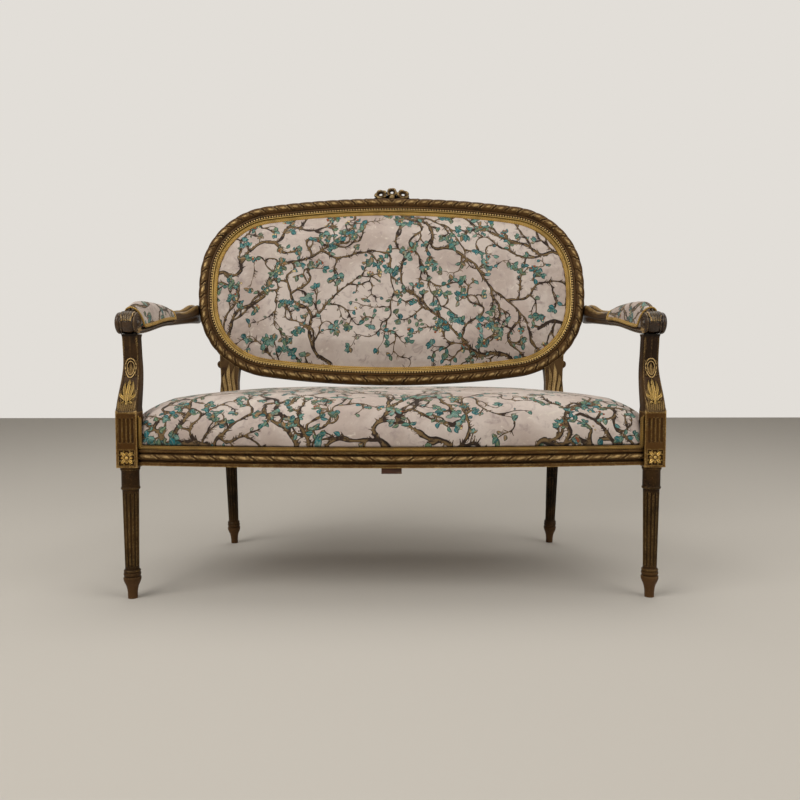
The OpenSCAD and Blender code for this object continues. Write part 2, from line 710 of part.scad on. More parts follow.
module back_corner(side, up) {
    color(gilt) both_sides(side) difference() {
        on_back() mirror([0, up > 0 ? 0 : 1, 0]) ring_arc(corner_c, corner_r, side_deg, long_deg);
        oval_dowels_at(fit_gap);
        if (up < 0) stile_dowel(dowel_r + fit_gap);
        if (up < 0) arm_dowel(back_dowel_r + fit_gap);
    }
}
// Dowels across the eight joints of the oval, two in each.
dowel_shares = [0.27, 0.63];
module oval_dowels_at(gap) {
    on_back() for (sx = [0, 1]) for (sy = [0, 1]) mirror([sx, 0, 0]) mirror([0, sy, 0])
        for (deg = [side_deg, long_deg]) for (share = dowel_shares) let(p = corner_c
            + (corner_r - ring_w * share) * [cos(deg), sin(deg)])
            translate([p[0], p[1], ring_t * 0.27]) rotate([0, 90, deg + 90])
                translate([0, 0, -dowel_l / 2]) cylinder(h = dowel_l, r = back_dowel_r + gap, $fn = 32);
}
module oval_dowels() {
    color(bare_wood) oval_dowels_at(0);
}

// Pierced ribbon bow on the crest: a middle loop and knot, two side loops and two short tails.
bow_t = 18;
loop_r = 15;
eye_r = 4.4;
loop_x = 33;
loop_y = 12;
mid_y = 20;
tail_x = 47;
tail_r = 9;
module crest_bow() {
    top = oval_point(90, 0)[1];
    color(gilt) difference() {
        on_back() translate([0, top, ring_t / 2 - bow_t / 2 + 3]) linear_extrude(height = bow_t) difference() {
            union() {
                for (x = [-1, 1]) {
                    translate([x * loop_x, loop_y]) circle(r = loop_r, $fn = 48);
                    translate([x * tail_x, tail_r * 0.4]) circle(r = tail_r, $fn = 48);
                    translate([x * loop_r * 0.5, mid_y + loop_r * 0.62]) circle(r = loop_r * 0.52, $fn = 48);
                    translate([x * loop_x * 0.5, loop_y * 0.3]) circle(r = loop_r * 0.62, $fn = 48);
                }
                translate([0, mid_y]) circle(r = loop_r * 0.86, $fn = 48);
                translate([0, loop_y * 0.3]) circle(r = loop_r * 0.7, $fn = 48);
            }
            translate([0, mid_y]) circle(r = eye_r, $fn = 32);
            for (x = [-1, 1]) translate([x * loop_x, loop_y]) circle(r = eye_r, $fn = 32);
            translate([0, -oval_b]) square([oval_a, 2 * oval_b], center = true);
        }
        on_back() translate([long_c[0], long_c[1], -ring_t])
            cylinder(h = 3 * ring_t, r = long_r + lie_gap / 2, $fn = 360);
        crest_dowel(dowel_r + fit_gap);
    }
}
module crest_dowel(r) {
    on_back() translate([0, oval_point(90, 0)[1] - crest_dowel_l / 2, ring_t / 2]) rotate([-90, 0, 0])
        cylinder(h = crest_dowel_l, r = r * 0.6, $fn = 24);
}
crest_dowel_l = 16;

// Jute straps, woven over and under, tacked under the rails. High and low say which strap is on top.
strap_pitch_x = 104;
strap_pitch_y = 84;
strap_x = [for (k = [0:9]) (k - 4.5) * strap_pitch_x * (front_span / 1160)];
strap_y = [for (k = [0:3]) seat_depth * 0.45 + (k - 1.5) * strap_pitch_y];
strap_lift = strap_t + 0.1;
// Height profile of one strap: up under the rails, and down where it passes below a crossing strap.
function strap_line(from, to, crossings, first_low) = concat([[from, 0]],
    [for (k = [0:len(crossings) - 1]) let(c = crossings[k])
        if ((k + first_low) % 2 == 1 && c - strap_w * 0.73 > from && c + strap_w * 0.73 < to)
            each [[c - strap_w * 0.72, 0], [c - strap_w * 0.54, -strap_lift],
                [c + strap_w * 0.54, -strap_lift], [c + strap_w * 0.72, 0]]],
    [[to, 0]]);
module strap(line) {
    // Drawn along x with its width along y.
    rotate([90, 0, 0]) translate([0, 0, -strap_w / 2]) linear_extrude(height = strap_w)
        polygon(concat([for (p = line) p], [for (k = [len(line) - 1:-1:0]) line[k] - [0, strap_t]]));
}
function front_inner_y(x) = rail_arc_y - sqrt(pow(rail_r - rail_t * 0.4, 2) - x * x);
module seat_straps_front_to_back() {
    color(jute) for (k = [0:len(strap_x) - 1]) let(
        x = strap_x[k],
        outer = abs(x) + strap_w / 2,
        y1 = outer > half_rear - rear_block_w / 2
            ? min(rear_face_y - lie_gap, (half_front - rail_t * 0.3 - outer) / tan(side_a)) : seat_depth)
        translate([x, 0, rail_z]) rotate([0, 0, 90])
            strap(strap_line(front_inner_y(x), y1, strap_y, k % 2));
}
module seat_straps_side_to_side() {
    color(jute) for (k = [0:len(strap_y) - 1]) let(
        y = strap_y[k],
        half = half_front - (y + strap_w / 2) * tan(side_a) + rail_t * 0.05)
        translate([0, y, rail_z]) strap(strap_line(-half, half, strap_x, (k + 1) % 2));
}

// Coil springs on the straps, each one unbroken wire that is drawn in at its waist.
spring_waist_share = 0.72;
spring_rows = [for (k = [0:springs_y - 1]) seat_depth * 0.45 + (k - (springs_y - 1) / 2) * seat_depth * 0.27];
spring_columns = [for (k = [0:springs_x - 1]) (k - (springs_x - 1) / 2) * front_span * 0.19];
curl_steps = 8;
function spring_point(t) = let(
    r = (spring_r - wire_r) * (1 - (1 - spring_waist_share) * sin(180 * t)), a = 360 * spring_turns * t)
    [r * cos(a), r * sin(a), wire_r + (spring_h - 2 * wire_r) * t];
function unit(v) = v / norm(v);
spring_wire = [for (k = [0:ceil(spring_turns * curl_steps)]) let(
    t = k / ceil(spring_turns * curl_steps),
    p = spring_point(t),
    d = unit(spring_point(t + 0.001) - spring_point(t - 0.001)),
    side = unit(cross(d, [0, 0, 1])),
    up = cross(side, d))
    [for (q = [0:5]) p + wire_r * (cos(60 * q + 30) * side + sin(60 * q + 30) * up)]];
spring_curls = spring_turns * curl_steps;
spring_gap = min([for (k = [0:spring_curls - curl_steps])
    norm(spring_point(k / spring_curls) - spring_point((k + curl_steps) / spring_curls)) - 2 * wire_r]);
echo(least_gap_between_spring_turns = spring_gap);
module seat_springs() {
    color(steel) for (x = spring_columns) for (y = spring_rows)
        translate([x, y, rail_z + lie_gap]) skin(spring_wire);
}

// Plan of the seat upholstery: right half from the middle of the front to the middle of the rear.
// Each entry is [x, y, swell], and swell is 0 where the pad stays clear of a leg block or stile.
pad_gap = 2;
notch_y = block_w / 2 + pad_gap + 6;
function side_outer_x(y) = half_front + inner_side_x - pad_in / cos(side_a) - y * tan(side_a);
rear_notch_y = rear_face_y - pad_gap;
rear_notch_x = half_rear - stile_w * 0.52 - pad_gap;
rear_edge_y = seat_depth + rail_t / 2 - pad_in;
front_x_end = half_chord - pad_gap;
pad_half = concat(
    [for (k = [1:7]) let(x = front_x_end * k / 7)
        [x, rail_arc_y - sqrt(pow(rail_r - pad_in, 2) - x * x), k < 7 ? 1 : 0]],
    [[front_x_end, notch_y, 0], [side_outer_x(notch_y), notch_y, 0.4]],
    [for (k = [1:5]) let(y = notch_y + (rear_notch_y - notch_y) * k / 5) [side_outer_x(y), y, k < 5 ? 1 : 0.3]],
    [[rear_notch_x, rear_notch_y, 0], [rear_notch_x, rear_edge_y, 0]],
    [for (k = [3:-1:1]) [rear_notch_x * k / 4, rear_edge_y, 0.3]]);
pad_plan = concat([[0, rail_face_y - bow + pad_in, 1]], pad_half, [[0, rear_edge_y, 0.3]],
    [for (k = [len(pad_half) - 1:-1:0]) [-pad_half[k][0], pad_half[k][1], pad_half[k][2]]]);
pad_c = [0, seat_depth * 0.45];
// Rings of the seat: [share towards the edge, height (0 rails, 1 edge, 2 crown), share of the swell].
seat_ring_shares = [[1, 0, 0], [1, 0.32, 0.8], [1, 0.66, 1], [0.996, 0.92, 0.6], [0.982, 1.16, 0],
    [0.955, 1.38, 0], [0.9, 1.58, 0], [0.8, 1.75, 0], [0.62, 1.88, 0], [0.34, 1.97, 0]];
function seat_z(h) = rail_top + lie_gap + (h < 1 ? h * edge_h : edge_h + (h - 1) * (crown_h - edge_h));
function seat_ring(row, inset) = [for (p = pad_plan) let(
    d = unit([p[0], p[1]] - pad_c),
    q = pad_c + ([p[0], p[1]] - pad_c) * row[0] + d * (seat_swell * row[2] * p[2] - inset))
    [q[0], q[1], seat_z(row[1]) - (row[1] > 0.5 ? inset * ease(row[1], 0.5, 1.4) : 0)]];
module seat_cover() {
    color(cloth) cap_skin(
        [for (r = seat_ring_shares) seat_ring(r, 0)],
        [pad_c[0], pad_c[1], seat_z(2)],
        [for (r = seat_ring_shares) seat_ring(r, cover_t)],
        [pad_c[0], pad_c[1], seat_z(2) - cover_t]);
}
cavity_share = 0.9;
canvas_t = 1.2;
canvas_z = rail_z + spring_h + 2 * lie_gap;
function cavity_ring(z, inset) = [for (p = pad_plan) let(
    v = [p[0], p[1]] - pad_c, q = pad_c + v * cavity_share - unit(v) * inset) [q[0], q[1], z]];
module seat_stuffing() {
    inset = cover_t + soft_gap;
    color(hair) cap_skin(
        [for (r = seat_ring_shares) seat_ring(r, inset)],
        [pad_c[0], pad_c[1], seat_z(2) - inset],
        [cavity_ring(seat_z(0), 0), cavity_ring(canvas_z + canvas_t + lie_gap, 0)],
        [pad_c[0], pad_c[1], canvas_z + canvas_t + lie_gap]);
}
module spring_canvas() {
    color(jute) translate([0, 0, canvas_z]) linear_extrude(height = canvas_t)
        polygon([for (p = cavity_ring(0, lie_gap)) [p[0], p[1]]]);
}

// Gilt braid along the foot of the seat cover and up beside the leg blocks.
braid_z = rail_z + rebate_z + lie_gap;
post_braid_y = rail_face_y + pad_in - seat_swell * 0.2 - braid_t - lie_gap;
module braid_strip(l) {
    translate([-pad_in + lie_gap, 0]) square([braid_t - lie_gap, braid_w]);
}
module seat_braid() {
    color(braid_gold) {
        intersection() {
            translate([0, rail_arc_y, braid_z]) rotate([0, 0, -90 - rail_arc_a])
                rotate_extrude(angle = 2 * rail_arc_a, $fn = 360) translate([rail_r, 0]) braid_strip();
            translate([-half_chord + lie_gap, front_y - over, rail_z])
                cube([2 * (half_chord - lie_gap), block_w - front_y, rail_h]);
        }
        for (side = [-1, 1]) both_sides(side) {
            intersection() {
                along_side() translate([0, side_l + rail_t, braid_z]) rotate([90, 0, 0])
                    linear_extrude(height = side_l + 2 * rail_t) translate([rail_t / 2, 0]) braid_strip();
                translate([0, notch_y, rail_z]) cube([front_span, rear_notch_y - notch_y, rail_h]);
            }
            translate([half_chord - lie_gap - braid_w, post_braid_y, braid_z + braid_w + lie_gap])
                cube([braid_w, braid_t - lie_gap, block_top - braid_z - 2 * braid_w]);
        }
        translate([-rear_notch_x, seat_depth + rail_t / 2 - pad_in + lie_gap, braid_z])
            cube([2 * rear_notch_x, braid_t - lie_gap, braid_w]);
    }
}

// Back upholstery, drawn in the plane of the back.
ledge_z = ring_t * ledge_share;
back_base = ledge_z + lie_gap;
back_hem = ring_w - ledge_w + lie_gap * 2;
back_fold = ring_w - 1;
back_ring_shares = [[1, 0], [0.985, 0.24], [0.96, 0.42], [0.92, 0.6], [0.84, 0.78], [0.68, 0.92], [0.4, 0.985]];
function oval_ring(inset, z) = [for (p = oval_outline(inset)) [p[0], p[1], z]];
function back_ring(row, inset) = [for (p = oval_outline(back_fold)) let(q = p * row[0] - unit(p) * inset)
    [q[0], q[1], back_base + cover_t + (back_swell - inset) * row[1]]];
module back_cover() {
    color(cloth) on_back() cap_skin(
        concat([oval_ring(back_hem, back_base + cover_t)], [for (r = back_ring_shares) back_ring(r, 0)]),
        [0, 0, back_base + cover_t + back_swell],
        concat([oval_ring(back_hem, back_base)], [oval_ring(back_fold + cover_t, back_base)],
            [for (k = [1:len(back_ring_shares) - 1]) back_ring(back_ring_shares[k], cover_t)]),
        [0, 0, back_base + back_swell]);
}
back_strap_z = 5;
module back_stuffing() {
    inset = cover_t + soft_gap;
    base = back_strap_z + 2 * strap_t + 3 * lie_gap;
    color(hair) on_back() skin_dome(
        concat([oval_ring(ring_w + lie_gap + cover_t, base), oval_ring(ring_w + lie_gap + cover_t, ledge_z)],
            [for (k = [1:len(back_ring_shares) - 1]) back_ring(back_ring_shares[k], inset)]),
        [0, 0, back_base + back_swell - soft_gap]);
}
// Closed skin with a flat underside and a pole on top.
module skin_dome(rings, pole) {
    n = len(rings[0]);
    m = len(rings);
    polyhedron(
        points = concat([for (r = rings) each r], [pole]),
        faces = concat(
            [for (k = [0:m - 2]) for (i = [0:n - 1]) let(j = (i + 1) % n)
                each [[k * n + i, (k + 1) * n + j, k * n + j], [k * n + i, (k + 1) * n + i, (k + 1) * n + j]]],
            [for (i = [0:n - 1]) [(m - 1) * n + i, m * n, (m - 1) * n + (i + 1) % n]],
            [[for (i = [0:n - 1]) i]]));
}
module back_straps_across() {
    color(jute) on_back() intersection() {
        for (k = [-1, 0, 1]) translate([-oval_a, k * strap_pitch_y * 1.7 - strap_w / 2, back_strap_z])
            cube([2 * oval_a, strap_w, strap_t]);
        translate([0, 0, back_strap_z - over]) linear_extrude(height = 2 * over + strap_t)
            polygon(oval_outline(ring_w + lie_gap));
    }
}
module back_straps_upright() {
    color(jute) on_back() intersection() {
        for (k = [-3:3])
            translate([k * strap_pitch_x * 1.25 - strap_w / 2, -oval_b, back_strap_z + strap_t + lie_gap])
                cube([strap_w, 2 * oval_b, strap_t]);
        translate([0, 0, back_strap_z]) linear_extrude(height = ring_t / 2)
            polygon(oval_outline(ring_w + lie_gap));
    }
}
module back_braid() {
    // A flat band on the ledge, over the hem of the cover.
    z = back_base + cover_t + lie_gap;
    color(braid_gold) on_back() difference() {
        translate([0, 0, z]) linear_extrude(height = braid_t) polygon(oval_outline(ring_w - ledge_w + lie_gap));
        translate([0, 0, z - over]) linear_extrude(height = braid_t + 2 * over)
            polygon(oval_outline(back_fold - lie_gap));
    }
}
rear_hem = 36;
module rear_cover() {
    color(cloth) on_back() translate([0, 0, -cover_t]) linear_extrude(height = cover_t)
        polygon(oval_outline(rear_hem));
}
module rear_braid() {
    color(braid_gold) on_back() difference() {
        translate([0, 0, -braid_t]) linear_extrude(height = braid_t) polygon(oval_outline(rear_hem - braid_w));
        translate([0, 0, -braid_t - over]) linear_extrude(height = braid_t + 2 * over)
            polygon(oval_outline(rear_hem - lie_gap));
    }
}

// Arm pads: a domed section carried along the sunk seat of each arm.
pad_t0 = pad_start_share + 0.006;
pad_t1 = pad_end_share - 0.012;
pad_crown_z = arm_z + pad_top;
// Rings of the arm pad: [share along it, share of the width, share of the height].
arm_pad_shares = [[0, 0.8, 0.36], [0.02, 0.88, 0.56], [0.07, 0.96, 0.76], [0.16, 1, 0.92], [0.3, 1, 1],
    [0.45, 1, 1], [0.6, 1, 0.98], [0.75, 0.98, 0.92], [0.88, 0.94, 0.8], [0.96, 0.88, 0.64], [1, 0.8, 0.44]];
arch_shares = [for (k = [0:10]) let(a = 18 * k) [cos(a) * (1 + 0.08 * sin(a) * sin(a)), pow(sin(a), 0.78)]];
function arm_pad_ring(row, inset, lift) = let(
    t = pad_t0 + (pad_t1 - pad_t0) * row[0],
    z = arm_high(t) + lift,
    w = (pad_w - 2 * inset) / 2 * row[1],
    h = (pad_crown_z - inset - z) * row[2],
    y = arm_front_y + arm_l * t + (row[0] < 0.5 ? inset : -inset) * (abs(row[0] - 0.5) > 0.4 ? 1 : 0))
    [for (s = arch_shares) [arm_x(t) - w * s[0], y, z + h * s[1]]];
module arm_cover(side) {
    color(cloth) both_sides(side) difference() {
        skin([for (row = arm_pad_shares) arm_pad_ring(row, 0, lie_gap)]);
        skin([for (row = arm_pad_shares) arm_pad_ring(row, cover_t, -cover_t)]);
    }
}
module arm_stuffing(side) {
    color(hair) both_sides(side)
        skin([for (row = arm_pad_shares) arm_pad_ring(row, cover_t + soft_gap, lie_gap)]);
}
module arm_braid(side) {
    rows = [for (k = [0:2:len(arm_pad_shares) - 1]) arm_pad_shares[k]];
    edge = [for (row = rows) let(t = pad_t0 + (pad_t1 - pad_t0) * row[0])
        [pad_w / 2 * row[1] + lie_gap, arm_front_y + arm_l * t, arm_high(t) + lie_gap, arm_x(t)]];
    color(braid_gold) both_sides(side) for (s = [-1, 1]) skin([for (e = edge)
        [for (p = s > 0 ? [[0, 0], [0, 1], [1, 1], [1, 0]] : [[0, 0], [1, 0], [1, 1], [0, 1]])
            [e[3] + s * (e[0] + p[0] * braid_t * 0.7), e[1], e[2] + p[1] * braid_w * 0.8 - braid_w * 0.5]]]);
}

place() front_leg(-1);  // front_leg_left
place() front_leg(1);  // front_leg_right
place() rear_leg(-1);  // rear_leg_left
place() rear_leg(1);  // rear_leg_right
place() front_rail();
place() side_rail(-1);  // side_rail_left
place() side_rail(1);  // side_rail_right
place() rear_rail();
place() corner_blocks();
place() corner_screws();
place() centre_batten();
place() batten_screws();
place() arm_support(-1);  // arm_support_left
place() arm_support(1);  // arm_support_right
place() arm(-1);  // arm_left
place() arm(1);  // arm_right
place() support_dowels();
place() arm_dowels();
place() back_long_rail(1);  // back_top_rail
place() back_long_rail(-1);  // back_bottom_rail
place() back_side(-1);  // back_side_left
place() back_side(1);  // back_side_right
place() back_corner(-1, 1);  // back_upper_corner_left
place() back_corner(1, 1);  // back_upper_corner_right
place() back_corner(-1, -1);  // back_lower_corner_left
place() back_corner(1, -1);  // back_lower_corner_right
place() oval_dowels();
place() stile_dowels();
place() crest_bow();
place() seat_straps_front_to_back();
place() seat_straps_side_to_side();
place() seat_springs();
place() spring_canvas();
place() seat_stuffing();
place() seat_cover();
place() seat_braid();
place() back_straps_upright();
place() back_straps_across();
place() back_stuffing();
place() back_cover();
place() back_braid();
place() rear_cover();
place() rear_braid();
place() arm_stuffing(-1);  // arm_stuffing_left
place() arm_stuffing(1);  // arm_stuffing_right
place() arm_cover(-1);  // arm_cover_left
place() arm_cover(1);  // arm_cover_right
place() arm_braid(-1);  // arm_braid_left
place() arm_braid(1);  // arm_braid_right
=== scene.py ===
# %% [markdown]
# # An oval-backed settee with worn gilding
# This lesson dresses a settee whose construction is already drawn: turned and fluted legs, a bowed
# seat rail, curved arm supports, scrolled arms and an oval back frame. The construction comes in as
# fixed pieces in metres. Here the carving, the gilding, the stuffed and covered pads and the cord
# trimmings are added, each where the construction says.

# %% Load the frame
from math import asin, atan2, cos, hypot, pi, radians, sin, tan
import bmesh
import bpy
import numpy as np
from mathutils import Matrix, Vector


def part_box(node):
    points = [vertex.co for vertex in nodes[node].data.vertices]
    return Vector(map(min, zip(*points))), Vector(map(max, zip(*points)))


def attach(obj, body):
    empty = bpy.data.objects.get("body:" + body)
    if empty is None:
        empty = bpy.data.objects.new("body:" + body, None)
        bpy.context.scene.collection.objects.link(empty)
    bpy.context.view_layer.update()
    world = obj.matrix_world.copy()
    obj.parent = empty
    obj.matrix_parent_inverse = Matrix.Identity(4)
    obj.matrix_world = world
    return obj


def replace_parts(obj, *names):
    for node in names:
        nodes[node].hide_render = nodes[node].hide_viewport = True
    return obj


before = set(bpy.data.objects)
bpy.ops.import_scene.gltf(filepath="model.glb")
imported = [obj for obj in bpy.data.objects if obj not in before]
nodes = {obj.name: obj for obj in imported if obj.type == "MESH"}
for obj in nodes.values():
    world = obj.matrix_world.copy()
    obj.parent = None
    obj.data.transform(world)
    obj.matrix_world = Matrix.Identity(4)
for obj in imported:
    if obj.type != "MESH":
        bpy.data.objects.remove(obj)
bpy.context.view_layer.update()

leg_low, leg_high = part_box("front_leg_right")
bench_y = (leg_low[1] + leg_high[1]) / 2

# %% [markdown]
# ## Camera, floor and light
# The camera was fitted to points of the real piece, so it is set first and never changed. A wide
# pale floor catches the shadow, and a pale wall shows only to the camera and in reflections, so it
# adds no light. Three big soft lamps stand in for the windows of a studio.

# %% The camera
camera = bpy.data.objects.new("camera", bpy.data.cameras.new("camera"))
bpy.context.scene.collection.objects.link(camera)
bpy.context.scene.camera = camera
camera.data.sensor_width = 36
camera.data.lens = 35.84
camera.location = (0.0048, -2.0370, 0.5500)
camera.rotation_euler = (pi / 2 - 0.0604, 0.0002, -0.0079)
print("camera at", tuple(camera.location))


# %% A finish and its nodes
class Finish:
    """A material with an empty Principled shader, and short ways to add nodes to it."""

    def __init__(self, name):
        self.material = bpy.data.materials.new(name)
        self.material.use_nodes = True
        self.tree = self.material.node_tree
        self.shader = self.tree.nodes["Principled BSDF"]
        self.place = self.node("TexCoord").outputs["Object"]

    def feed(self, socket, value):
        """Links an output to an input, or sets the input to a plain value."""
        if isinstance(value, bpy.types.NodeSocket):
            self.tree.links.new(value, socket)
        else:
            socket.default_value = value

    def shade(self, inputs):
        """Feeds inputs of the shader."""
        for key, value in inputs.items():
            self.feed(self.shader.inputs[key], value)

    def node(self, kind, inputs=None, **settings):
        made = self.tree.nodes.new("ShaderNode" + kind)
        for key, value in settings.items():
            setattr(made, key, value)
        for key, value in (inputs or {}).items():
            self.feed(made.inputs[key], value)
        return made

    def math(self, how, first, second=0.0, third=0.0, clamp=False):
        """One step of arithmetic."""
        return self.node("Math", {0: first, 1: second, 2: third}, operation=how, use_clamp=clamp).outputs[0]

    def times(self, first, second):
        return self.math("MULTIPLY", first, second)

    def step(self, value, low=0.0, high=1.0, first=0.0, last=1.0, how="SMOOTHSTEP"):
        """From first, below low, to last, above high, with a soft or a straight step between them."""
        ends = {"Value": value, "From Min": low, "From Max": high, "To Min": first, "To Max": last}
        return self.node("MapRange", ends, interpolation_type=how, clamp=True).outputs[0]

    def mix(self, share, first, second, how="MIX"):
        """Mixes two colours by a share."""
        colours = {0: share, 6: first, 7: second}
        return self.node("Mix", colours, data_type="RGBA", blend_type=how, clamp_factor=True).outputs[2]

    def stained(self, colour, value, low, high, most, stain):
        """A colour that a stain covers more and more, as a value goes from low to high."""
        return self.mix(self.times(self.step(value, low, high), most), colour, stain)

    def noise(self, scale, detail, rough=0.5, bend=0.0, place=None):
        inputs = {"Vector": self.place if place is None else place, "Scale": scale, "Detail": detail,
                  "Roughness": rough, "Distortion": bend}
        return self.node("TexNoise", inputs).outputs["Fac"]

    def near(self, distance, samples, **settings):
        """How open the surroundings of a point are: 0 in a hollow, 1 in the open."""
        made = self.node("AmbientOcclusion", {"Distance": distance}, samples=samples, **settings)
        return made.outputs["AO"]

    def axis(self, letter):
        return self.node("SeparateXYZ", {0: self.place}).outputs[letter]

    def stored(self, name):
        """A number stored on the points of a piece."""
        return self.node("Attribute", attribute_name=name).outputs["Fac"]

    def bump(self, height, strength, distance, below=None):
        """Fine relief, which may lie on a coarser one."""
        inputs = {"Height": height, "Strength": strength, "Distance": distance}
        if below is not None:
            inputs["Normal"] = below
        made = self.node("Bump", inputs).outputs[0]
        self.shade({"Normal": made})
        return made


def tone(red, green, blue):
    """A colour as it shows on a screen, 0 to 255, turned into the light that the shader wants."""
    return tuple((c / 255 / 12.92 if c < 11 else ((c / 255 + 0.055) / 1.055) ** 2.4)
                 for c in (red, green, blue)) + (1.0,)


print("a mid grey is", tuple(round(c, 3) for c in tone(128, 128, 128)))


# %% Floor, wall and lamps
def stage_plane(name, size, place, turn, lit, seen=None):
    """A matt plane. Where seen is given, the camera and mirror images show that plain colour."""
    bpy.ops.object.select_all(action="DESELECT")
    bpy.ops.mesh.primitive_plane_add(size=size, location=place, rotation=turn)
    plane = bpy.context.object
    plane.name = name
    finish = Finish("pale_" + name)
    finish.shade({"Roughness": 0.95, "Specular IOR Level": 0.1, "Base Color": lit})
    plane.data.materials.append(finish.material)
    if seen is not None:
        path = finish.node("LightPath").outputs
        mirrored_rays = finish.math("MAXIMUM", path["Is Glossy Ray"], path["Is Transmission Ray"])
        rays = finish.math("MAXIMUM", path["Is Camera Ray"], mirrored_rays)
        glow = finish.node("Emission", {"Color": seen, "Strength": 1.0}).outputs[0]
        both = finish.node("MixShader", {0: rays, 1: finish.shader.outputs[0], 2: glow}).outputs[0]
        finish.feed(finish.tree.nodes["Material Output"].inputs["Surface"], both)
    return plane


floor = stage_plane("floor", 14, (0, 1, 0), (0, 0, 0), tone(205, 201, 195))
wall = stage_plane("wall", 30, (0, 4.6, 5), (pi / 2, 0, 0), tone(200, 196, 190), tone(226, 222, 216))


def soft_lamp(name, place, aim, size, watts):
    """A square lamp at a place, turned towards a point."""
    lamp = bpy.data.objects.new(name, bpy.data.lights.new(name, "AREA"))
    lamp.data.size = size
    lamp.data.energy = watts
    lamp.data.color = (1.0, 0.965, 0.90)
    bpy.context.scene.collection.objects.link(lamp)
    lamp.location = place
    way = [a - p for a, p in zip(aim, place)]
    lamp.rotation_euler = (atan2(hypot(way[0], way[1]), -way[2]), 0, atan2(way[1], way[0]) - pi / 2)


soft_lamp("window_light", (-2.2, -2.2, 3.0), aim=(0, 0, 0.5), size=2.4, watts=67)
soft_lamp("room_light", (2.6, -1.9, 2.4), aim=(0, 0, 0.5), size=2.4, watts=33)
soft_lamp("ceiling_light", (0.2, 0.6, 3.6), aim=(0, 0.1, 0.4), size=2.6, watts=37)
world = bpy.data.worlds.new("soft_room")
bpy.context.scene.world = world
world.use_nodes = True
world.node_tree.nodes["Background"].inputs[0].default_value = tone(214, 210, 204)
world.node_tree.nodes["Background"].inputs[1].default_value = 0.55
bpy.context.scene.view_settings.view_transform = "Standard"
print("stage set")

# %% [markdown]
# ## Worn gilding
# The real finish is gold leaf over red clay on carved beech, rubbed and dirtied for a century: dark
# brown in every hollow, dull gold on every edge and high spot, and red clay or wood where hands and
# shoes wore it through. Ambient occlusion looks outwards to find the hollows and inwards to find the
# edges, so one material ages every piece alike. The hollows are painted near-black, as their dirt and
# painted shade together, and the legs are painted darker below the seat rail as the shade under the
# seat. A "raised" attribute on carved pieces says which parts stand proud, and below zero it paints
# shade into notches, holes and grooves. Noise on Object coordinates breaks it all up.

# %% The gilded finish
# Heights of the foot of the seat rail, below which the legs get painted shade, and of the toes, which shoes
# scuff.
rail_foot = (0.286, 0.302)
toes = (0.075, 0.030)


def gilded(name, gold, brown, gold_more=0.0, proud=0.5, rough=0.42, edges=1.0, low=None, shine=0.11,
           bare=0.50):
    """Worn gilding. gold_more lifts how much gold is left, proud how much more of it is on raised parts,
    edges how much on sharp edges, and low is a darker colour painted below the seat rail as the shade
    under the seat. shine and bare are the sheen and the roughness of the wood that shows."""
    finish = Finish(name)
    height, raised = finish.axis("Z"), finish.stored("raised")
    blotch, speck = finish.noise(38.0, 5.0, 0.62), finish.noise(310.0, 4.0, 0.7)
    cloud = finish.noise(9.0, 3.0)
    hollow = finish.near(0.009, 5)
    edge = finish.math("SUBTRACT", 1.0, finish.near(0.005, 5, inside=True, only_local=True), clamp=True)
    worn = gold_more
    for value, share in ((speck, 0.55), (blotch, 0.8), (raised, proud), (edge, edges)):
        worn = finish.math("MULTIPLY_ADD", value, share, worn)
    left = finish.times(finish.step(worn, 0.80, 1.45), finish.step(hollow, 0.45, 0.92))
    # Below the seat rail the legs are painted darker and keep less gold: painted shade under the seat.
    if low is not None:
        brown = finish.mix(finish.step(height, *rail_foot), low, brown)
        left = finish.times(left, finish.step(height, *rail_foot, 0.45, 1.0, "LINEAR"))
    dirt = finish.stained(brown, cloud, 0.35, 0.70, 0.45, tone(96, 68, 34))
    dirt = finish.stained(dirt, blotch, 0.48, 0.70, 0.8, tone(30, 19, 9))
    dirt = finish.stained(dirt, speck, 0.56, 0.74, 0.5, tone(112, 82, 48))
    # Near-black where ambient occlusion finds a hollow: the dirt of the hollows and painted shade together.
    dirt = finish.mix(finish.step(hollow, 0.25, 0.90), tone(9, 5, 2), dirt)
    clay = finish.times(finish.step(speck, 0.52, 0.68), finish.step(blotch, 0.44, 0.58))
    dirt = finish.mix(finish.times(clay, 0.6), dirt, tone(86, 50, 30))
    scuffs = finish.times(finish.step(height, *toes), finish.times(blotch, 1.1))
    dirt = finish.mix(scuffs, dirt, tone(102, 72, 44))
    leaf = finish.stained(gold, speck, 0.35, 0.65, 1.0, tone(214, 182, 122))
    # Where raised is below zero the colour goes towards near-black: painted shade in notches, holes, grooves
    # and gaps, and the dark of the rubbed scroll leaf.
    colour = finish.stained(finish.mix(left, dirt, leaf), raised, -0.10, -0.80, 1.0, tone(13, 8, 4))
    finish.shade({"Base Color": colour, "Metallic": finish.times(left, 0.5), "Specular IOR Level": shine,
                  "Roughness": finish.step(left, 0.0, 1.0, bare, rough, "LINEAR")})
    finish.bump(finish.math("MULTIPLY_ADD", speck, 0.5, blotch), 0.32, 0.0014)
    return finish.material


print("rail foot between", rail_foot, "and toes between", toes, "metres up")


# %% Ten shades of worn gilding
frame_gilt = gilded("worn_gilt_frame", gold=tone(170, 130, 62), brown=tone(76, 50, 22))
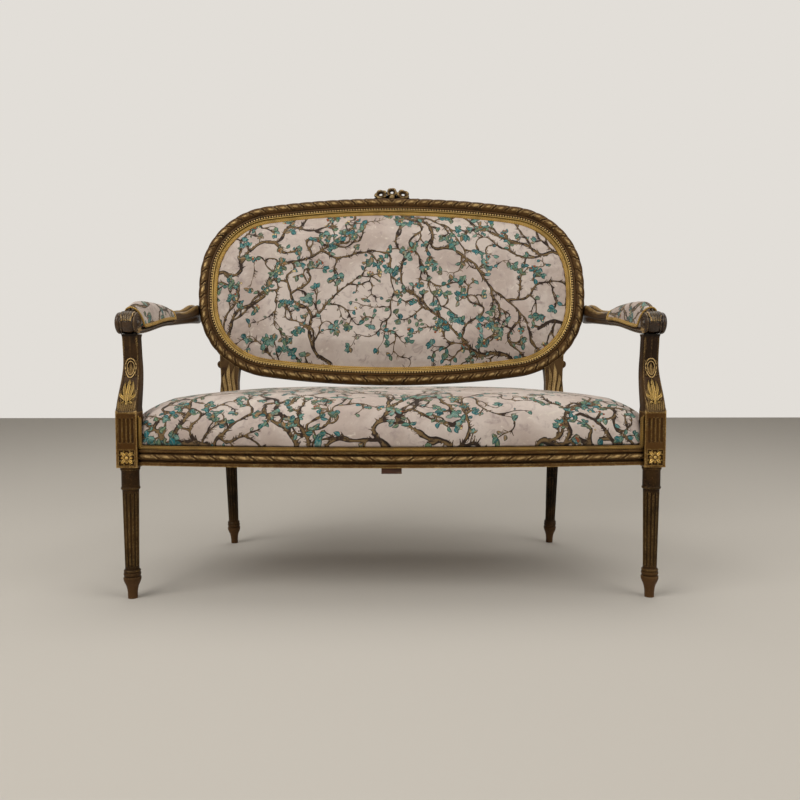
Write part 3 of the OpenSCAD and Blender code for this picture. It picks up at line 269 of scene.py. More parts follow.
# The legs get painted shade below the seat rail, the rear legs almost black.
front_leg_gilt = gilded("worn_gilt_front_legs", tone(172, 128, 50), tone(76, 48, 14), 0.02,
                        low=tone(40, 25, 6))
rear_leg_gilt = gilded("worn_gilt_rear_legs", tone(160, 126, 72), tone(86, 64, 38), -0.05, edges=0.7,
                       low=tone(15, 10, 5))
back_gilt = gilded("worn_gilt_back", tone(162, 128, 72), tone(78, 54, 28), edges=0.45)
carved_gilt = gilded("worn_gilt_carving", tone(188, 156, 108), tone(80, 56, 28), -0.06, 0.72)
dark_gilt = gilded("rubbed_dark_carving", tone(166, 128, 70), tone(48, 31, 16), -0.26, 0.34, 0.30,
                   shine=0.5, bare=0.30)
bright_gilt = gilded("bright_gilt_leaves", tone(228, 182, 82), tone(64, 42, 17), 0.14, 0.62, 0.32)
support_gilt = gilded("worn_gilt_supports", tone(156, 116, 54), tone(42, 27, 12), -0.30, 0.26, 0.32,
                      edges=0.8, shine=0.16)
flame_gilt = gilded("flame_gilt", tone(250, 212, 122), tone(84, 58, 26), 0.42, 0.70, 0.30)
bow_gilt = gilded("worn_gilt_bow", tone(178, 154, 116), tone(66, 50, 30), -0.06, 0.80, edges=0.8)
print("gilding ready")


# %% [markdown]
# ## Bare wood, steel and jute
# Under the gilding and below the seat are plain things: beech blocks with grain and dust, screws with
# a dull steel shine, coiled springs that have gone brown, and woven jute webbing under hessian. Each
# gets its own scale of detail, because the settee is also looked at from below.

# %% Plain finishes
def beech(name, light, dark, stretch):
    """Wood with its grain stretched along an axis, dusty, and with painted shade in its corners."""
    finish = Finish(name)
    grain = finish.node("Mapping", {"Vector": finish.place, "Scale": stretch}).outputs[0]
    rings = finish.noise(30.0, 8.0, 0.7, place=grain)
    wood = finish.mix(finish.step(rings, 0.3, 0.7), light, dark)
    wood = finish.mix(finish.step(finish.noise(24.0, 4.0), 0.55, 0.75), wood, tone(120, 100, 78))
    # Painted shade in the corners, where ambient occlusion finds them.
    wood = finish.mix(finish.step(finish.near(0.02, 4), 0.2, 0.8), tone(40, 28, 18), wood)
    finish.shade({"Base Color": wood, "Roughness": 0.72})
    finish.bump(rings, 0.25, 0.001)
    return finish.material


def dull_metal(name, light, dark, rough):
    """Steel that has gone brown in spots."""
    finish = Finish(name)
    stain = finish.noise(160.0, 5.0)
    finish.shade({"Base Color": finish.mix(finish.step(stain, 0.35, 0.68), light, dark), "Metallic": 0.85,
                  "Roughness": finish.step(stain, 0.0, 1.0, rough, rough + 0.25, "LINEAR")})
    finish.bump(stain, 0.2, 0.0006)
    return finish.material


def woven(name, thread, gap, per_metre):
    """A plain weave of coarse threads along X and Y."""
    finish = Finish(name)
    waves = [finish.math("SINE", finish.times(finish.axis(letter), per_metre * pi)) for letter in "XY"]
    over = finish.times(*(finish.math("ABSOLUTE", wave) for wave in waves))
    over = finish.math("MULTIPLY_ADD", finish.times(*waves), 0.25, over)
    colour = finish.mix(finish.step(over, 0.0, 0.55), gap, thread)
    shade = finish.step(finish.noise(45.0, 4.0), 0.35, 0.75)
    colour = finish.mix(shade, colour, tone(96, 78, 56), "MULTIPLY")
    finish.shade({"Base Color": colour, "Roughness": 0.88})
    finish.bump(finish.math("MULTIPLY_ADD", finish.noise(900.0, 2.0), 0.4, over), 0.5, 0.0008)
    return finish.material


lengthwise, upright = (1.0, 12.0, 12.0), (10.0, 10.0, 1.0)
rail_beech = beech("old_beech", tone(142, 96, 62), tone(104, 62, 38), lengthwise)
batten_beech = beech("dark_batten", tone(84, 48, 26), tone(58, 32, 17), lengthwise)
peg_beech = beech("peg_beech", tone(160, 122, 84), tone(128, 90, 58), upright)
screw_steel = dull_metal("screw_steel", tone(150, 148, 142), tone(96, 88, 76), 0.38)
spring_steel = dull_metal("spring_steel", tone(118, 104, 84), tone(72, 54, 38), 0.42)
webbing = woven("jute_webbing", tone(178, 148, 106), tone(96, 74, 48), 620.0)
hessian = woven("hessian", tone(158, 128, 88), tone(74, 56, 36), 480.0)
print("plain finishes ready")


# %% Dress the construction
finish_of = {
    "front_leg": front_leg_gilt, "rear_leg": rear_leg_gilt, "front_rail": frame_gilt, "side_rail": frame_gilt,
    "rear_rail": frame_gilt, "back_top_rail": back_gilt, "back_bottom_rail": back_gilt,
    "back_side": back_gilt, "back_upper_corner": back_gilt, "back_lower_corner": back_gilt,
    "corner_blocks": rail_beech, "centre_batten": batten_beech, "corner_screws": screw_steel,
    "batten_screws": screw_steel, "seat_springs": spring_steel}
for name, node in nodes.items():
    found = [f for start, f in finish_of.items() if name.startswith(start)]
    node.data.materials.clear()
    node.data.materials.append(found[0] if found else peg_beech)
print(len(nodes), "construction pieces dressed")


# %% [markdown]
# ## Tools for shaping
# Carved and sewn things are drawn the way a hand would draw them: a section is laid down as a circle,
# moved to its outline, and pulled out ring after ring along the piece. The drawing tool does only
# that, and closes the ends. Everything is made where it belongs, so no piece needs to be moved.

# %% Pick and name pieces, and read and move their points
def pick_nothing():
    if bpy.context.mode != "OBJECT":
        bpy.ops.object.mode_set(mode="OBJECT")
    bpy.ops.object.select_all(action="DESELECT")


def work_on(piece):
    pick_nothing()
    piece.select_set(True)
    bpy.context.view_layer.objects.active = piece


def named(piece, name):
    piece.name = piece.data.name = name
    return piece


def points_of(piece):
    co = np.empty(len(piece.data.vertices) * 3)
    piece.data.vertices.foreach_get("co", co)
    return co.reshape(-1, 3)


def put_points(piece, co):
    piece.data.vertices.foreach_set("co", np.asarray(co, float).ravel())
    piece.data.update()


def mark(piece, name, values):
    """Stores one number for each point of a piece, for its finish to read."""
    layer = piece.data.attributes.get(name) or piece.data.attributes.new(name, "FLOAT", "POINT")
    layer.data.foreach_set("value", np.full(len(piece.data.vertices), values, float))


def raised(piece, values):
    """Says how proud the points of a carved piece stand: one number for all of them, or one for each. Below
    zero the finish paints the colour towards near-black, as shade.
    """
    mark(piece, "raised", values)
    return piece


def raised_like(piece, spots, values):
    """Gives each point of a piece the value of the nearest of the spots that it was drawn from."""
    spots, values = np.array(spots).reshape(-1, 3), np.array(values)
    return raised(piece, [values[((spots - p) ** 2).sum(1).argmin()] for p in points_of(piece)])


print("a leg of the frame has", len(points_of(nodes["front_leg_right"])), "points")


# %% Draw a piece ring by ring
def drawn(name, rings, tip_first=None, tip_last=None):
    """Draws a closed outline and pulls it through a row of rings. A tip closes an end to one point."""
    rings = [np.asarray(r, float) for r in rings]
    pick_nothing()
    bpy.ops.mesh.primitive_circle_add(vertices=len(rings[0]), radius=1, location=(0, 0, 0))
    piece = named(bpy.context.object, name)
    piece.data.vertices.foreach_set("co", rings[0].ravel())
    bpy.ops.object.mode_set(mode="EDIT")
    bpy.ops.mesh.select_all(action="SELECT")
    shape = bmesh.from_edit_mesh(piece.data)
    front = first = list(shape.verts)

    def pull(front, ring):
        """Pulls the front out to a ring, and gives the new front."""
        where = {tuple(v.co): k for k, v in enumerate(front)}
        bpy.ops.mesh.extrude_edges_move()
        row = [None] * len(front)
        for v in bmesh.from_edit_mesh(piece.data).verts:
            if v.select:
                row[where[tuple(v.co)]] = v
        for v, p in zip(row, ring):
            v.co = p
        return row

    def close(front, ring, tip):
        if tip is None:
            bpy.ops.mesh.edge_face_add()
        else:
            pull(front, ring + (np.asarray(tip) - ring) * 0.999)
            bpy.ops.mesh.merge(type="CENTER")

    for ring in rings[1:]:
        front = pull(front, ring)
    close(front, rings[-1], tip_last)
    bpy.ops.mesh.select_all(action="DESELECT")
    for v in first:
        v.select = True
    bmesh.from_edit_mesh(piece.data).select_flush(True)
    close(first, rings[0], tip_first)
    bpy.ops.mesh.select_all(action="SELECT")
    bpy.ops.mesh.normals_make_consistent(inside=False)
    bpy.ops.object.mode_set(mode="OBJECT")
    return piece


def round_rings(place, middle, wide, tall, profile, count):
    """Rings round a middle on a carved face, for profile steps of (share of the size, metres proud)."""
    turns = np.linspace(0, 2 * pi, count + 1)[:-1]
    return [[place(middle[0] + wide * r * cos(a), middle[1] + tall * r * sin(a), h) for a in turns]
            for r, h in profile]


print("drawing tools ready")


# %% Settle a piece
def smooth(piece, angle):
    work_on(piece)
    bpy.ops.object.shade_smooth_by_angle(angle=radians(angle))


def settle(piece, finish, angle=50):
    """Fixes a piece's place in its mesh, gives it its finish and lets it ride on the settee."""
    work_on(piece)
    bpy.ops.object.transform_apply(location=True, rotation=True, scale=True)
    piece.data.materials.clear()
    piece.data.materials.append(finish)
    smooth(piece, angle)
    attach(piece, "root")
    print(f"{piece.name}: {len(piece.data.polygons)} faces")


print("settling tools ready")


# %% Join and mirror pieces, and apply modifiers
def joined(pieces, name):
    pick_nothing()
    for p in pieces:
        p.select_set(True)
    bpy.context.view_layer.objects.active = pieces[0]
    bpy.ops.object.join()
    return named(pieces[0], name)


def inside_out(piece):
    """Turns all faces of a piece round."""
    work_on(piece)
    bpy.ops.object.mode_set(mode="EDIT")
    bpy.ops.mesh.select_all(action="SELECT")
    bpy.ops.mesh.flip_normals()
    bpy.ops.object.mode_set(mode="OBJECT")
    return piece


def mirrored(piece, name):
    """A copy with its own mesh, on the other side of the settee."""
    copy = piece.copy()
    copy.data = piece.data.copy()
    bpy.context.scene.collection.objects.link(copy)
    put_points(copy, points_of(copy) * (-1, 1, 1))
    return inside_out(named(copy, name))


def settle_pair(piece, name, finish, angle=50):
    """Settles the right piece and its mirror image on the left."""
    named(piece, name + "_right")
    pair = piece, mirrored(piece, name + "_left")
    for part in pair:
        settle(part, finish, angle)
    return pair


def with_modifier(piece, kind, **settings):
    """Adds a modifier and applies it at once."""
    work_on(piece)
    step = piece.modifiers.new(kind.lower(), kind)
    for key, value in settings.items():
        setattr(step, key, value)
    bpy.ops.object.modifier_apply(modifier=step.name)


print("joining tools ready")


# %% Soft steps and lines
def soft_step(value, low, high):
    """0 below low, 1 above high, with a soft step between them."""
    s = np.clip((np.asarray(value, float) - low) / (high - low), 0, 1)
    return s * s * (3 - 2 * s)


def run_along(line):
    """How far along a line each of its points lies."""
    return np.concatenate([[0], np.cumsum(np.linalg.norm(np.diff(line, axis=0), axis=1))])


def even_points(line, count):
    """A number of evenly spaced points along a line."""
    run = run_along(line)
    marks = np.linspace(0, run[-1], count)
    return np.column_stack([np.interp(marks, run, axis) for axis in np.transpose(line)])


def directions(line, closed=False):
    """Unit vectors along a line."""
    way = np.gradient(line, axis=0)
    if closed:
        way[0] = way[-1] = line[1] - line[-1]
    return way / np.linalg.norm(way, axis=1, keepdims=True)


print("a soft step from 0 to 1 is", float(soft_step(0.25, 0, 1)), "at a quarter")


# %% [markdown]
# ## The oval of the back
# The back frame is a three-arc oval in a plane that leans back 12 degrees. A moulding line is the
# same three arcs drawn a little further in. These helpers give a point of the oval and carry a flat
# drawing into the leaning plane, so beads, ribbons and cords follow the frame exactly.

# %% Points of the oval
side_arc, long_arc = radians(6), radians(82)
side_radius, corner_radius, long_radius = 0.54766, 0.215, 2.6018
side_middle, corner_middle, long_middle = (0.001345, 0.0), (0.332178, 0.034772), (0.0, -2.3288)


def oval(angle, inset):
    """A point of the oval where its outline faces a given way, drawn in by inset."""
    turn = atan2(sin(angle), cos(angle))
    lift = asin(min(1, abs(sin(turn))))
    if lift < side_arc:
        middle, radius = side_middle, side_radius
    elif lift < long_arc:
        middle, radius = corner_middle, corner_radius
    else:
        middle, radius = long_middle, long_radius
    signs = (-1 if cos(turn) < 0 else 1, -1 if turn < 0 else 1)
    return np.array(middle) * signs + (radius - inset) * np.array([cos(turn), sin(turn)])


def oval_line(inset, gap, first=-pi / 2, last=3 * pi / 2):
    """Evenly spaced points along the oval, about gap apart, and the length of the line."""
    dense = np.array([oval(a, inset) for a in np.linspace(first, last, 6001)])
    run = run_along(dense)[-1]
    return even_points(dense, max(8, int(round(run / gap))) + 1), run


print("the oval is", round(oval_line(0, 0.01)[1], 3), "metres round")


# %% Into the leaning plane and back
lean_angle = radians(12)
lean_out = np.array([0, -cos(lean_angle), sin(lean_angle)])
lean_foot_y, lean_foot_z, oval_middle_up = 0.462, 0.352, 0.381
frame_depth = 0.034


def lean(flat, depth=None):
    """Carries points (across, up the lean, towards the front) into the leaning plane of the back."""
    p = np.asarray(flat, float)
    if depth is not None:
        p = np.column_stack([p, np.broadcast_to(depth, len(p))])
    up, out = p[:, 1] + oval_middle_up, p[:, 2] - frame_depth / 2
    y = bench_y + lean_foot_y + up * sin(lean_angle) - out * cos(lean_angle)
    z = lean_foot_z + up * cos(lean_angle) + out * sin(lean_angle)
    return np.column_stack([p[:, 0], y, z])


def off_lean(points):
    """The other way round: points of the back as (across, up the lean) and towards the front."""
    y, z = points[:, 1] - bench_y - lean_foot_y, points[:, 2] - lean_foot_z
    flat = np.column_stack([points[:, 0], y * sin(lean_angle) + z * cos(lean_angle) - oval_middle_up])
    return flat, z * sin(lean_angle) - y * cos(lean_angle) + frame_depth / 2


def on_frame(across, up, depth):
    """One place in the plane of the back: metres across, up the lean, and before its rear face."""
    return tuple(lean([[across, up, depth]])[0])


print("side of the oval at", np.round(on_frame(*oval(0, 0), frame_depth / 2), 4))


# %% [markdown]
# ## Stuffed and covered pads
# Seat, back and arms are hair stuffing under a tight printed cover. Each pad is drawn a little slim,
# remeshed into even small squares, and then blown up as a cloth bag with its hem held, so the
# cover gets the soft fullness of a real one. The movement is capped, the result is kept in the mesh,
# and one subdivision makes the points dense enough to carry the print.

# %% Blow up a pad
cover_cloth = {"quality": 5, "mass": 0.3, "tension_stiffness": 14, "compression_stiffness": 14,
               "shear_stiffness": 6, "bending_stiffness": 0.6, "use_pressure": True,
               "uniform_pressure_force": 4.0, "vertex_group_mass": "held"}
cloth_frames = 12


def stuffed(piece, square, most, held):
    """Turns a drawn pad into even squares and lets its cover swell, except where held says."""
    with_modifier(piece, "REMESH", mode="VOXEL", voxel_size=square)
    rest = points_of(piece)
    work_on(piece)
    pins = np.nonzero(held(rest))[0]
    piece.vertex_groups.new(name="held").add(pins.tolist(), 1.0, "REPLACE")
    cover = piece.modifiers.new("cover", "CLOTH")
    for key, value in cover_cloth.items():
        setattr(cover.settings, key, value)
    cover.settings.effector_weights.gravity = 0
    cover.point_cache.frame_start, cover.point_cache.frame_end = 1, cloth_frames
    scene = bpy.context.scene
    for frame_number in range(1, cloth_frames + 1):
        scene.frame_set(frame_number)
    blown = points_of(piece.evaluated_get(bpy.context.evaluated_depsgraph_get()))
    piece.modifiers.remove(cover)
    scene.frame_set(1)
    piece.vertex_groups.clear()
    move = blown - rest
    far = np.linalg.norm(move, axis=1, keepdims=True)
    put_points(piece, rest + move * np.minimum(1, most / np.maximum(far, 1e-9)))
    print(f"{piece.name}: swelled by {far.mean() * 1000:.1f} mm on average")
    with_modifier(piece, "SUBSURF", levels=1, render_levels=1)
    print(piece.name, len(piece.data.polygons), "faces")


def rounded_corners(corners, radius, gap):
    """A closed outline through corners, each rounded off, in points about gap apart."""
    corners = [np.asarray(c, float) for c in corners]
    line = []
    for k, c in enumerate(corners):
        before, after = corners[k - 1] - c, corners[(k + 1) % len(corners)] - c
        la, lb = np.linalg.norm(before), np.linalg.norm(after)
        r = min(radius, la * 0.45, lb * 0.45)
        first, last = c + before / la * r, c + after / lb * r
        line += [(1 - t) ** 2 * first + 2 * t * (1 - t) * c + t * t * last for t in (0, 0.25, 0.5, 0.75, 1)]
    line = np.array(line + line[:1])
    return even_points(line, int(run_along(line)[-1] / gap) + 1)[:-1]


print("each cover swells for", cloth_frames, "frames")


# %% [markdown]
# ## The seat
# The seat is a tall springy pad. Its front follows the bow of the rail, its front corners are cut
# round the leg blocks, and its rear corners round the stiles. It rises steeply from the rail, turns
# over a soft edge and crowns in the middle.

# %% The plan of the seat
rail_top, seat_edge, seat_crown = 0.3442, 0.409, 0.4545
front_bow_middle, front_bow_radius = 3.41071, 3.46671
side_start, side_slope = 0.59138, 0.26483
block_x, block_y = 0.5545, 0.0312
stile_x, stile_front, stile_back = 0.427, 0.448, 0.483
seat_middle = np.array([0.0, 0.2124])


def front_line(x, out=0.0):
    """Where the cover meets the bowed front rail."""
    return front_bow_middle - np.sqrt((front_bow_radius + out) ** 2 - np.asarray(x) ** 2)


def side_line(y):
    return side_start - side_slope * y


right_side = [(block_x, block_y), (side_line(block_y), block_y), (side_line(stile_front), stile_front),
              (stile_x, stile_front), (stile_x, stile_back)]
seat_plan = [(x, float(front_line(x))) for x in np.linspace(-block_x, block_x, 25)] + right_side
seat_plan = rounded_corners(seat_plan + [(-x, y) for x, y in reversed(right_side)], 0.007, 0.012)
soft_plan = seat_plan.copy()
for _ in range(60):
    soft_plan = (np.roll(soft_plan, 1, 0) + soft_plan * 2 + np.roll(soft_plan, -1, 0)) / 4


def shrunk(plan, share):
    return seat_middle + (plan - seat_middle) * share


def level(flat, height):
    """A level ring at a height, from a plan drawn from the axis of the front legs."""
    return np.column_stack([flat + (0, bench_y), np.full(len(flat), height)])


def seat_share(points):
    """How far out on the seat points lie, from 0 in the middle to 1 at its outline."""
    way = seat_plan - seat_middle
    turn, far = np.arctan2(way[:, 1], way[:, 0]), np.hypot(*way.T)
    order = np.argsort(turn)
    off = points[:, :2] - seat_middle - (0, bench_y)
    here = np.arctan2(off[:, 1], off[:, 0])
    return np.hypot(*off.T) / np.interp(here, turn[order], far[order], period=2 * pi)


def in_hollow(points):
    """Whether points lie in the hollow under the stuffing, which the springs fill."""
    return (points[:, 2] < hollow_top + 0.003) & (seat_share(points) < 0.93)


print("seat outline of", len(seat_plan), "points")


# %% Draw the seat
canvas_low, canvas_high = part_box("spring_canvas")
hollow_top = canvas_high[2] + 0.0006
hollow_share, soft_share = 0.905, 1.006
soft_plan = shrunk(soft_plan, soft_share)
seat_rings = [level(shrunk(seat_plan, hollow_share), hollow_top)]
# Share of the plan, height (0 at the rail, 1 at the edge, 2 at the crown), swell, softness of the corners.
for share, lift, swell, soft in (
        (hollow_share, 0.0, 0, 0), (0.97, 0.0, 0, 0), (1.0, 0.0, 0, 0), (1.0, 0.25, 0.6, 0),
        (1.0, 0.55, 1, 0), (0.998, 0.8, 0.8, 0.1), (0.992, 1.0, 0.4, 0.3), (0.978, 1.22, 0, 0.6),
        (0.950, 1.42, 0, 0.85), (0.90, 1.60, 0, 1), (0.82, 1.75, 0, 1), (0.70, 1.86, 0, 1),
        (0.52, 1.95, 0, 1), (0.30, 1.99, 0, 1)):
    plan = seat_plan * (1 - soft) + soft_plan * soft
    way = plan - seat_middle
    unit = way / np.linalg.norm(way, axis=1, keepdims=True)
    in_front = np.clip((0.05 - plan[:, 1:]) / 0.05, 0, 1) * (np.abs(plan[:, :1]) < 0.53)
    height = np.interp(lift, (0, 1, 2), (rail_top, seat_edge, seat_crown))
    seat_rings.append(level(seat_middle + way * share + unit * 0.004 * swell * in_front, height))
seat_axis = (0, seat_middle[1] + bench_y)
seat = drawn("seat", seat_rings, (*seat_axis, hollow_top), (*seat_axis, seat_crown))
stuffed(seat, square=0.0056, most=0.006, held=lambda p: (p[:, 2] < rail_top + 0.010) | in_hollow(p))


# %% [markdown]
# ## The back pad
# The back pad is a shallow dome that lies in the oval. Its cover runs out under the cord trimming on
# the ledge of the frame, so its rim is drawn thin and held.

# %% Draw the back pad
back_floor, back_swell, back_rim = 0.0164, 0.0335, 0.0415
straps_top = 0.0086
rim_line = oval_line(back_rim, 0.012)[0][:-1]
# Share of the oval, and height as a share of the swell.
back_steps = ((0.945, (straps_top - back_floor) / back_swell), (0.95, -0.02), (0.985, 0.0), (1.0, 0.04),
              (0.984, 0.12), (0.974, 0.24), (0.958, 0.38), (0.936, 0.52), (0.90, 0.65), (0.85, 0.765),
              (0.76, 0.87), (0.60, 0.945), (0.38, 0.985))
back_rings = [lean(rim_line * share, back_floor + back_swell * lift) for share, lift in back_steps]
back_pad = drawn("back_pad", back_rings, on_frame(0, 0, straps_top), on_frame(0, 0, back_floor + back_swell))
stuffed(back_pad, square=0.0050, most=0.006, held=lambda p: off_lean(p)[1] < back_floor + 0.005)


# %% [markdown]
# ## The arm pads
# Each arm carries a small domed pad between the scroll in front and the carved rear half. It follows
# the arm's inward swing and its rise.

# %% The line of an arm
arm_front, arm_length, arm_width, arm_front_x = 0.03504, 0.5003, 0.038, 0.584
arm_rear_x = oval(0, 0)[0] - 0.0005 + arm_width * 0.42
pad_last, pad_foot, pad_radius = 0.556, 0.0155, 0.0210


def arm_x(t):
    return arm_front_x - (arm_front_x - arm_rear_x) * (0.35 * t + 0.65 * soft_step(t, 0.55, 1))


def arm_low(t):
    return 0.590 + 0.041 * (0.55 * soft_step(t, 0, 0.5) + 0.15 * t + 0.3 * soft_step(t, 0.4, 1))


def along_arm(points):
    """How far along the arm points lie, as a share."""
    return (points[:, 1] - bench_y - arm_front) / arm_length


print("an arm rises from", arm_low(0), "to", round(float(arm_low(1)), 3))


# %% Draw an arm pad
def pad_front(arch):
    """Where the pad starts along the arm: its top leans forward over the scroll."""
    return 0.060 - 0.062 * arch


def pad_point(share, turn, out=0.0):
    """A point of the right arm pad: share along it, turn round its arch from 0 to pi, metres out."""
    arch = max(0.0, sin(turn))
    t = pad_front(arch) * (1 - share) + pad_last * share
    low = arm_low(t) + pad_foot
    crown = np.interp(share, (0, 0.06, 0.16, 0.35, 0.6, 0.85, 0.96, 1),
                      (0.650, 0.659, 0.667, 0.670, 0.670, 0.667, 0.663, 0.6595))
    wide = pad_radius * np.interp(share, (0, 0.08, 0.2, 0.9, 1), (0.94, 0.99, 1, 1, 0.96))
    across = cos(turn) * (1 + 0.08 * arch ** 2)
    return np.array([arm_x(t) - (wide + out) * across, bench_y + arm_front + arm_length * t,
                     low + (crown - low) * arch ** 0.8])


pad_rings = []
for share in (0, 0.015, 0.04, 0.08, 0.14, 0.22, 0.32, 0.44, 0.56, 0.68, 0.78, 0.87, 0.94, 0.98, 1):
    ring = [pad_point(share, pi * k / 18) for k in range(19)]
    first, last = ring[0], ring[-1]
    ring += [last + (first - last) * k / 8 - (0, 0, 0.0012) for k in range(1, 8)]
    pad_rings.append(ring)
arm_pad_right = drawn("arm_pad_right", pad_rings)


def pad_held(p):
    """The foot of the pad and its two ends stay where they are."""
    t, shares = along_arm(p), np.linspace(0, 1, 101)
    low = np.interp(t, shares, arm_low(shares) + pad_foot)
    rise = np.clip((p[:, 2] - low) / (0.651 - low), 0, 1)
    return (p[:, 2] < low + 0.003) | (t < pad_front(rise) + 0.006) | (t > pad_last - 0.006)


stuffed(arm_pad_right, square=0.0034, most=0.0035, held=pad_held)
arm_pad_left = mirrored(arm_pad_right, "arm_pad_left")


# %% [markdown]
# ## The printed cloth
# The cover is printed with trailing sprigs: thin brown twigs with teal and grey-green leaves and a
# few berries on a mottled pale ground. The sprigs are grown here by a simple rule with a fixed seed,
# so they are an invented filling and not a picture of anything. For each point of a cover the
# distance to the nearest twig and leaf is stored, and the finish turns those distances into crisp
# edges. Distances stay sharp between the points where plain painted colours would blur.

# %% What has grown
# For each order of twig, from the stem to the last: half width, wobble, gap to the next branch, leaves.
twig_widths, twig_wobbles = (0.0056, 0.0036, 0.0024, 0.0017), (0.11, 0.15, 0.19, 0.22)
twig_gaps, twig_leaves = (1.25, 1, 0.9, 1), (0.03, 0.05, 0.09, 0.12)
twig_step = 0.007
swerves = (0, 0.25, -0.25, 0.5, -0.5, 0.8, -0.8)
leaf_fan = (-1.35, -0.7, 0.0, 0.75, 1.3)


def heading_to(turn, far=1.0):
    return far * np.array([cos(turn), sin(turn)])


class Growth:
    """Twigs and short spurs as rows of (x, y, half width), leaves as (x, y, turn, length, half width, tone),
    berries as (x, y, radius, tone), and the places that twigs take up."""

    def __init__(self, seed, room):
        self.luck, self.room, self.taken = np.random.default_rng(seed), room, {}
        self.twigs, self.stubs, self.leaves, self.berries = [], [], [], []

    def cell(self, p):
        return int(p[0] // self.room), int(p[1] // self.room)

    def free(self, p, own):
        """Whether no other twig than its own ancestors is near a place."""
        cx, cy = self.cell(p)
        for i in (-1, 0, 1):
            for j in (-1, 0, 1):
                for q, owner in self.taken.get((cx + i, cy + j), ()):
                    if owner not in own and hypot(p[0] - q[0], p[1] - q[1]) < self.room:
                        return False
        return True

    def next_place(self, place, turn, k, own):
        """One step ahead, swerving round other twigs, or nothing where all ways are taken."""
        for swerve in swerves:
            trial = place + twig_step * heading_to(turn + swerve)
            if k < 4 or self.free(trial, own):
                return trial, turn + swerve * 0.7
        return None, turn

    def add_leaf(self, p, turn, size):
        wide, pick = size * self.luck.uniform(0.25, 0.38), self.luck.random()
        self.leaves.append((p[0], p[1], turn, size, wide, pick))

    def add_stubs(self, row):
        """Short spurs beside a twig."""
        for k in range(2, len(row) - 1):
            if self.luck.random() < 0.42:
                x, y, half = row[k]
                ahead = atan2(y - row[k - 1][1], x - row[k - 1][0])
                ahead += self.luck.choice((-1, 1)) * self.luck.uniform(0.5, 1.3)
                tip = np.array([x, y]) + heading_to(ahead, self.luck.uniform(0.005, 0.011))
                self.stubs.append(np.array([(x, y, half * 0.8), (*tip, 0.0008)]))

    def add_end(self, row, place, turn):
        """A fan of leaves at the end of a twig, and sometimes berries."""
        luck = self.luck
        for fan in luck.permutation(leaf_fan)[:luck.integers(1, 6)]:
            self.add_leaf(row[-1][:2], turn + fan + luck.normal() * 0.12, luck.uniform(0.0105, 0.0195))
        if luck.random() < 0.22:
            for _ in range(luck.integers(2, 4)):
                spot = place + heading_to(turn + luck.uniform(-1.6, 1.6), 0.009)
                self.berries.append((*spot, luck.uniform(0.0022, 0.0036), luck.random()))


print(len(twig_widths), "orders of twigs, in steps of", twig_step, "metres")


# %% Grow the sprigs
def grow(seed, width, height, stems, room=0.026, bold=1.0):
    """Grows twigs from the stems until all are as long as they may be, or meet others or the border."""
    growth = Growth(seed, room)
    luck = growth.luck
    queue = [(np.array(s[:2], float), s[2], s[3], 0, set()) for s in stems]
    while queue:
        place, turn, length, order, own = queue.pop(0)
        name, heading = len(growth.twigs), turn
        own = own | {name}
        count = max(3, int(length / twig_step))
        bend = luck.uniform(-1, 1) * 0.03
        wide = bold * twig_widths[order]
        row, side = [(place[0], place[1], wide)], luck.choice((-1, 1))
        next_branch = luck.uniform(2, 5)
        for k in range(1, count):
            bend = bend * 0.7 + luck.normal() * twig_wobbles[order] - 0.07 * (turn - heading)
            ahead, turn = growth.next_place(place, turn + bend, k, own)
            if ahead is None:
                break
            place = ahead
            if abs(place[0]) > width / 2 or abs(place[1]) > height / 2:
                row.append((place[0], place[1], wide * 0.8))
                break
            taper = 1 - 0.6 * k / count
            row.append((place[0], place[1], wide * taper * (1 + 0.22 * sin(k * 1.3 + name))))
            if k >= next_branch and order < 3:
                side = -side
                away = turn + side * luck.uniform(0.5, 1.05)
                queue.append((place.copy(), away, length * luck.uniform(0.38, 0.66), order + 1, own))
                next_branch = k + luck.uniform(3.2, 7.0) * twig_gaps[order]
            if luck.random() < twig_leaves[order]:
                away = luck.choice((-1, 1))
                foot = place + heading_to(turn + away, 0.003)
                growth.add_leaf(foot, turn + away * luck.uniform(0.5, 1.2), luck.uniform(0.0095, 0.0185))
        for x, y, _ in row:
            growth.taken.setdefault(growth.cell((x, y)), []).append(((x, y), name))
        growth.add_stubs(row)
        if order and len(row) > 2:
            growth.add_end(row, place, turn)
        growth.twigs.append(np.array(row))
    return growth


print("a trial sprig has", len(grow(1, 0.2, 0.2, [(-0.1, 0, 0.3, 0.2)]).leaves), "leaves")


# %% Find the points near a place
cell_size, cell_rows, cell_shift = 0.012, 4096, 90


class FlatPoints:
    """The points of a cover laid flat, sorted into square cells, so that near ones are found fast."""

    def __init__(self, flat):
        self.flat, self.total = flat, len(flat)
        keys = np.floor(flat / cell_size).astype(int)
        code = keys[:, 0] * cell_rows + keys[:, 1]
        self.order = np.argsort(code, kind="stable")
        all_cells = np.arange(-cell_shift * cell_rows, (cell_shift + 1) * cell_rows)
        self.firsts = np.searchsorted(code[self.order], all_cells)

    def near(self, across, up, margin):
        """The points in all cells within a margin of some places."""
        left, right = (int(x // cell_size) for x in (min(across) - margin, max(across) + margin))
        low, high = (int(y // cell_size) for y in (min(up) - margin, max(up) + margin))
        found = []
        for column in range(left, right + 1):
            a, b = ((column + cell_shift) * cell_rows + row for row in (low, high + 1))
            if 0 <= a and b < len(self.firsts):
                found.append(self.order[self.firsts[a]:self.firsts[b]])
        return np.concatenate(found) if found else np.empty(0, int)


print("cells of", cell_size, "metres")


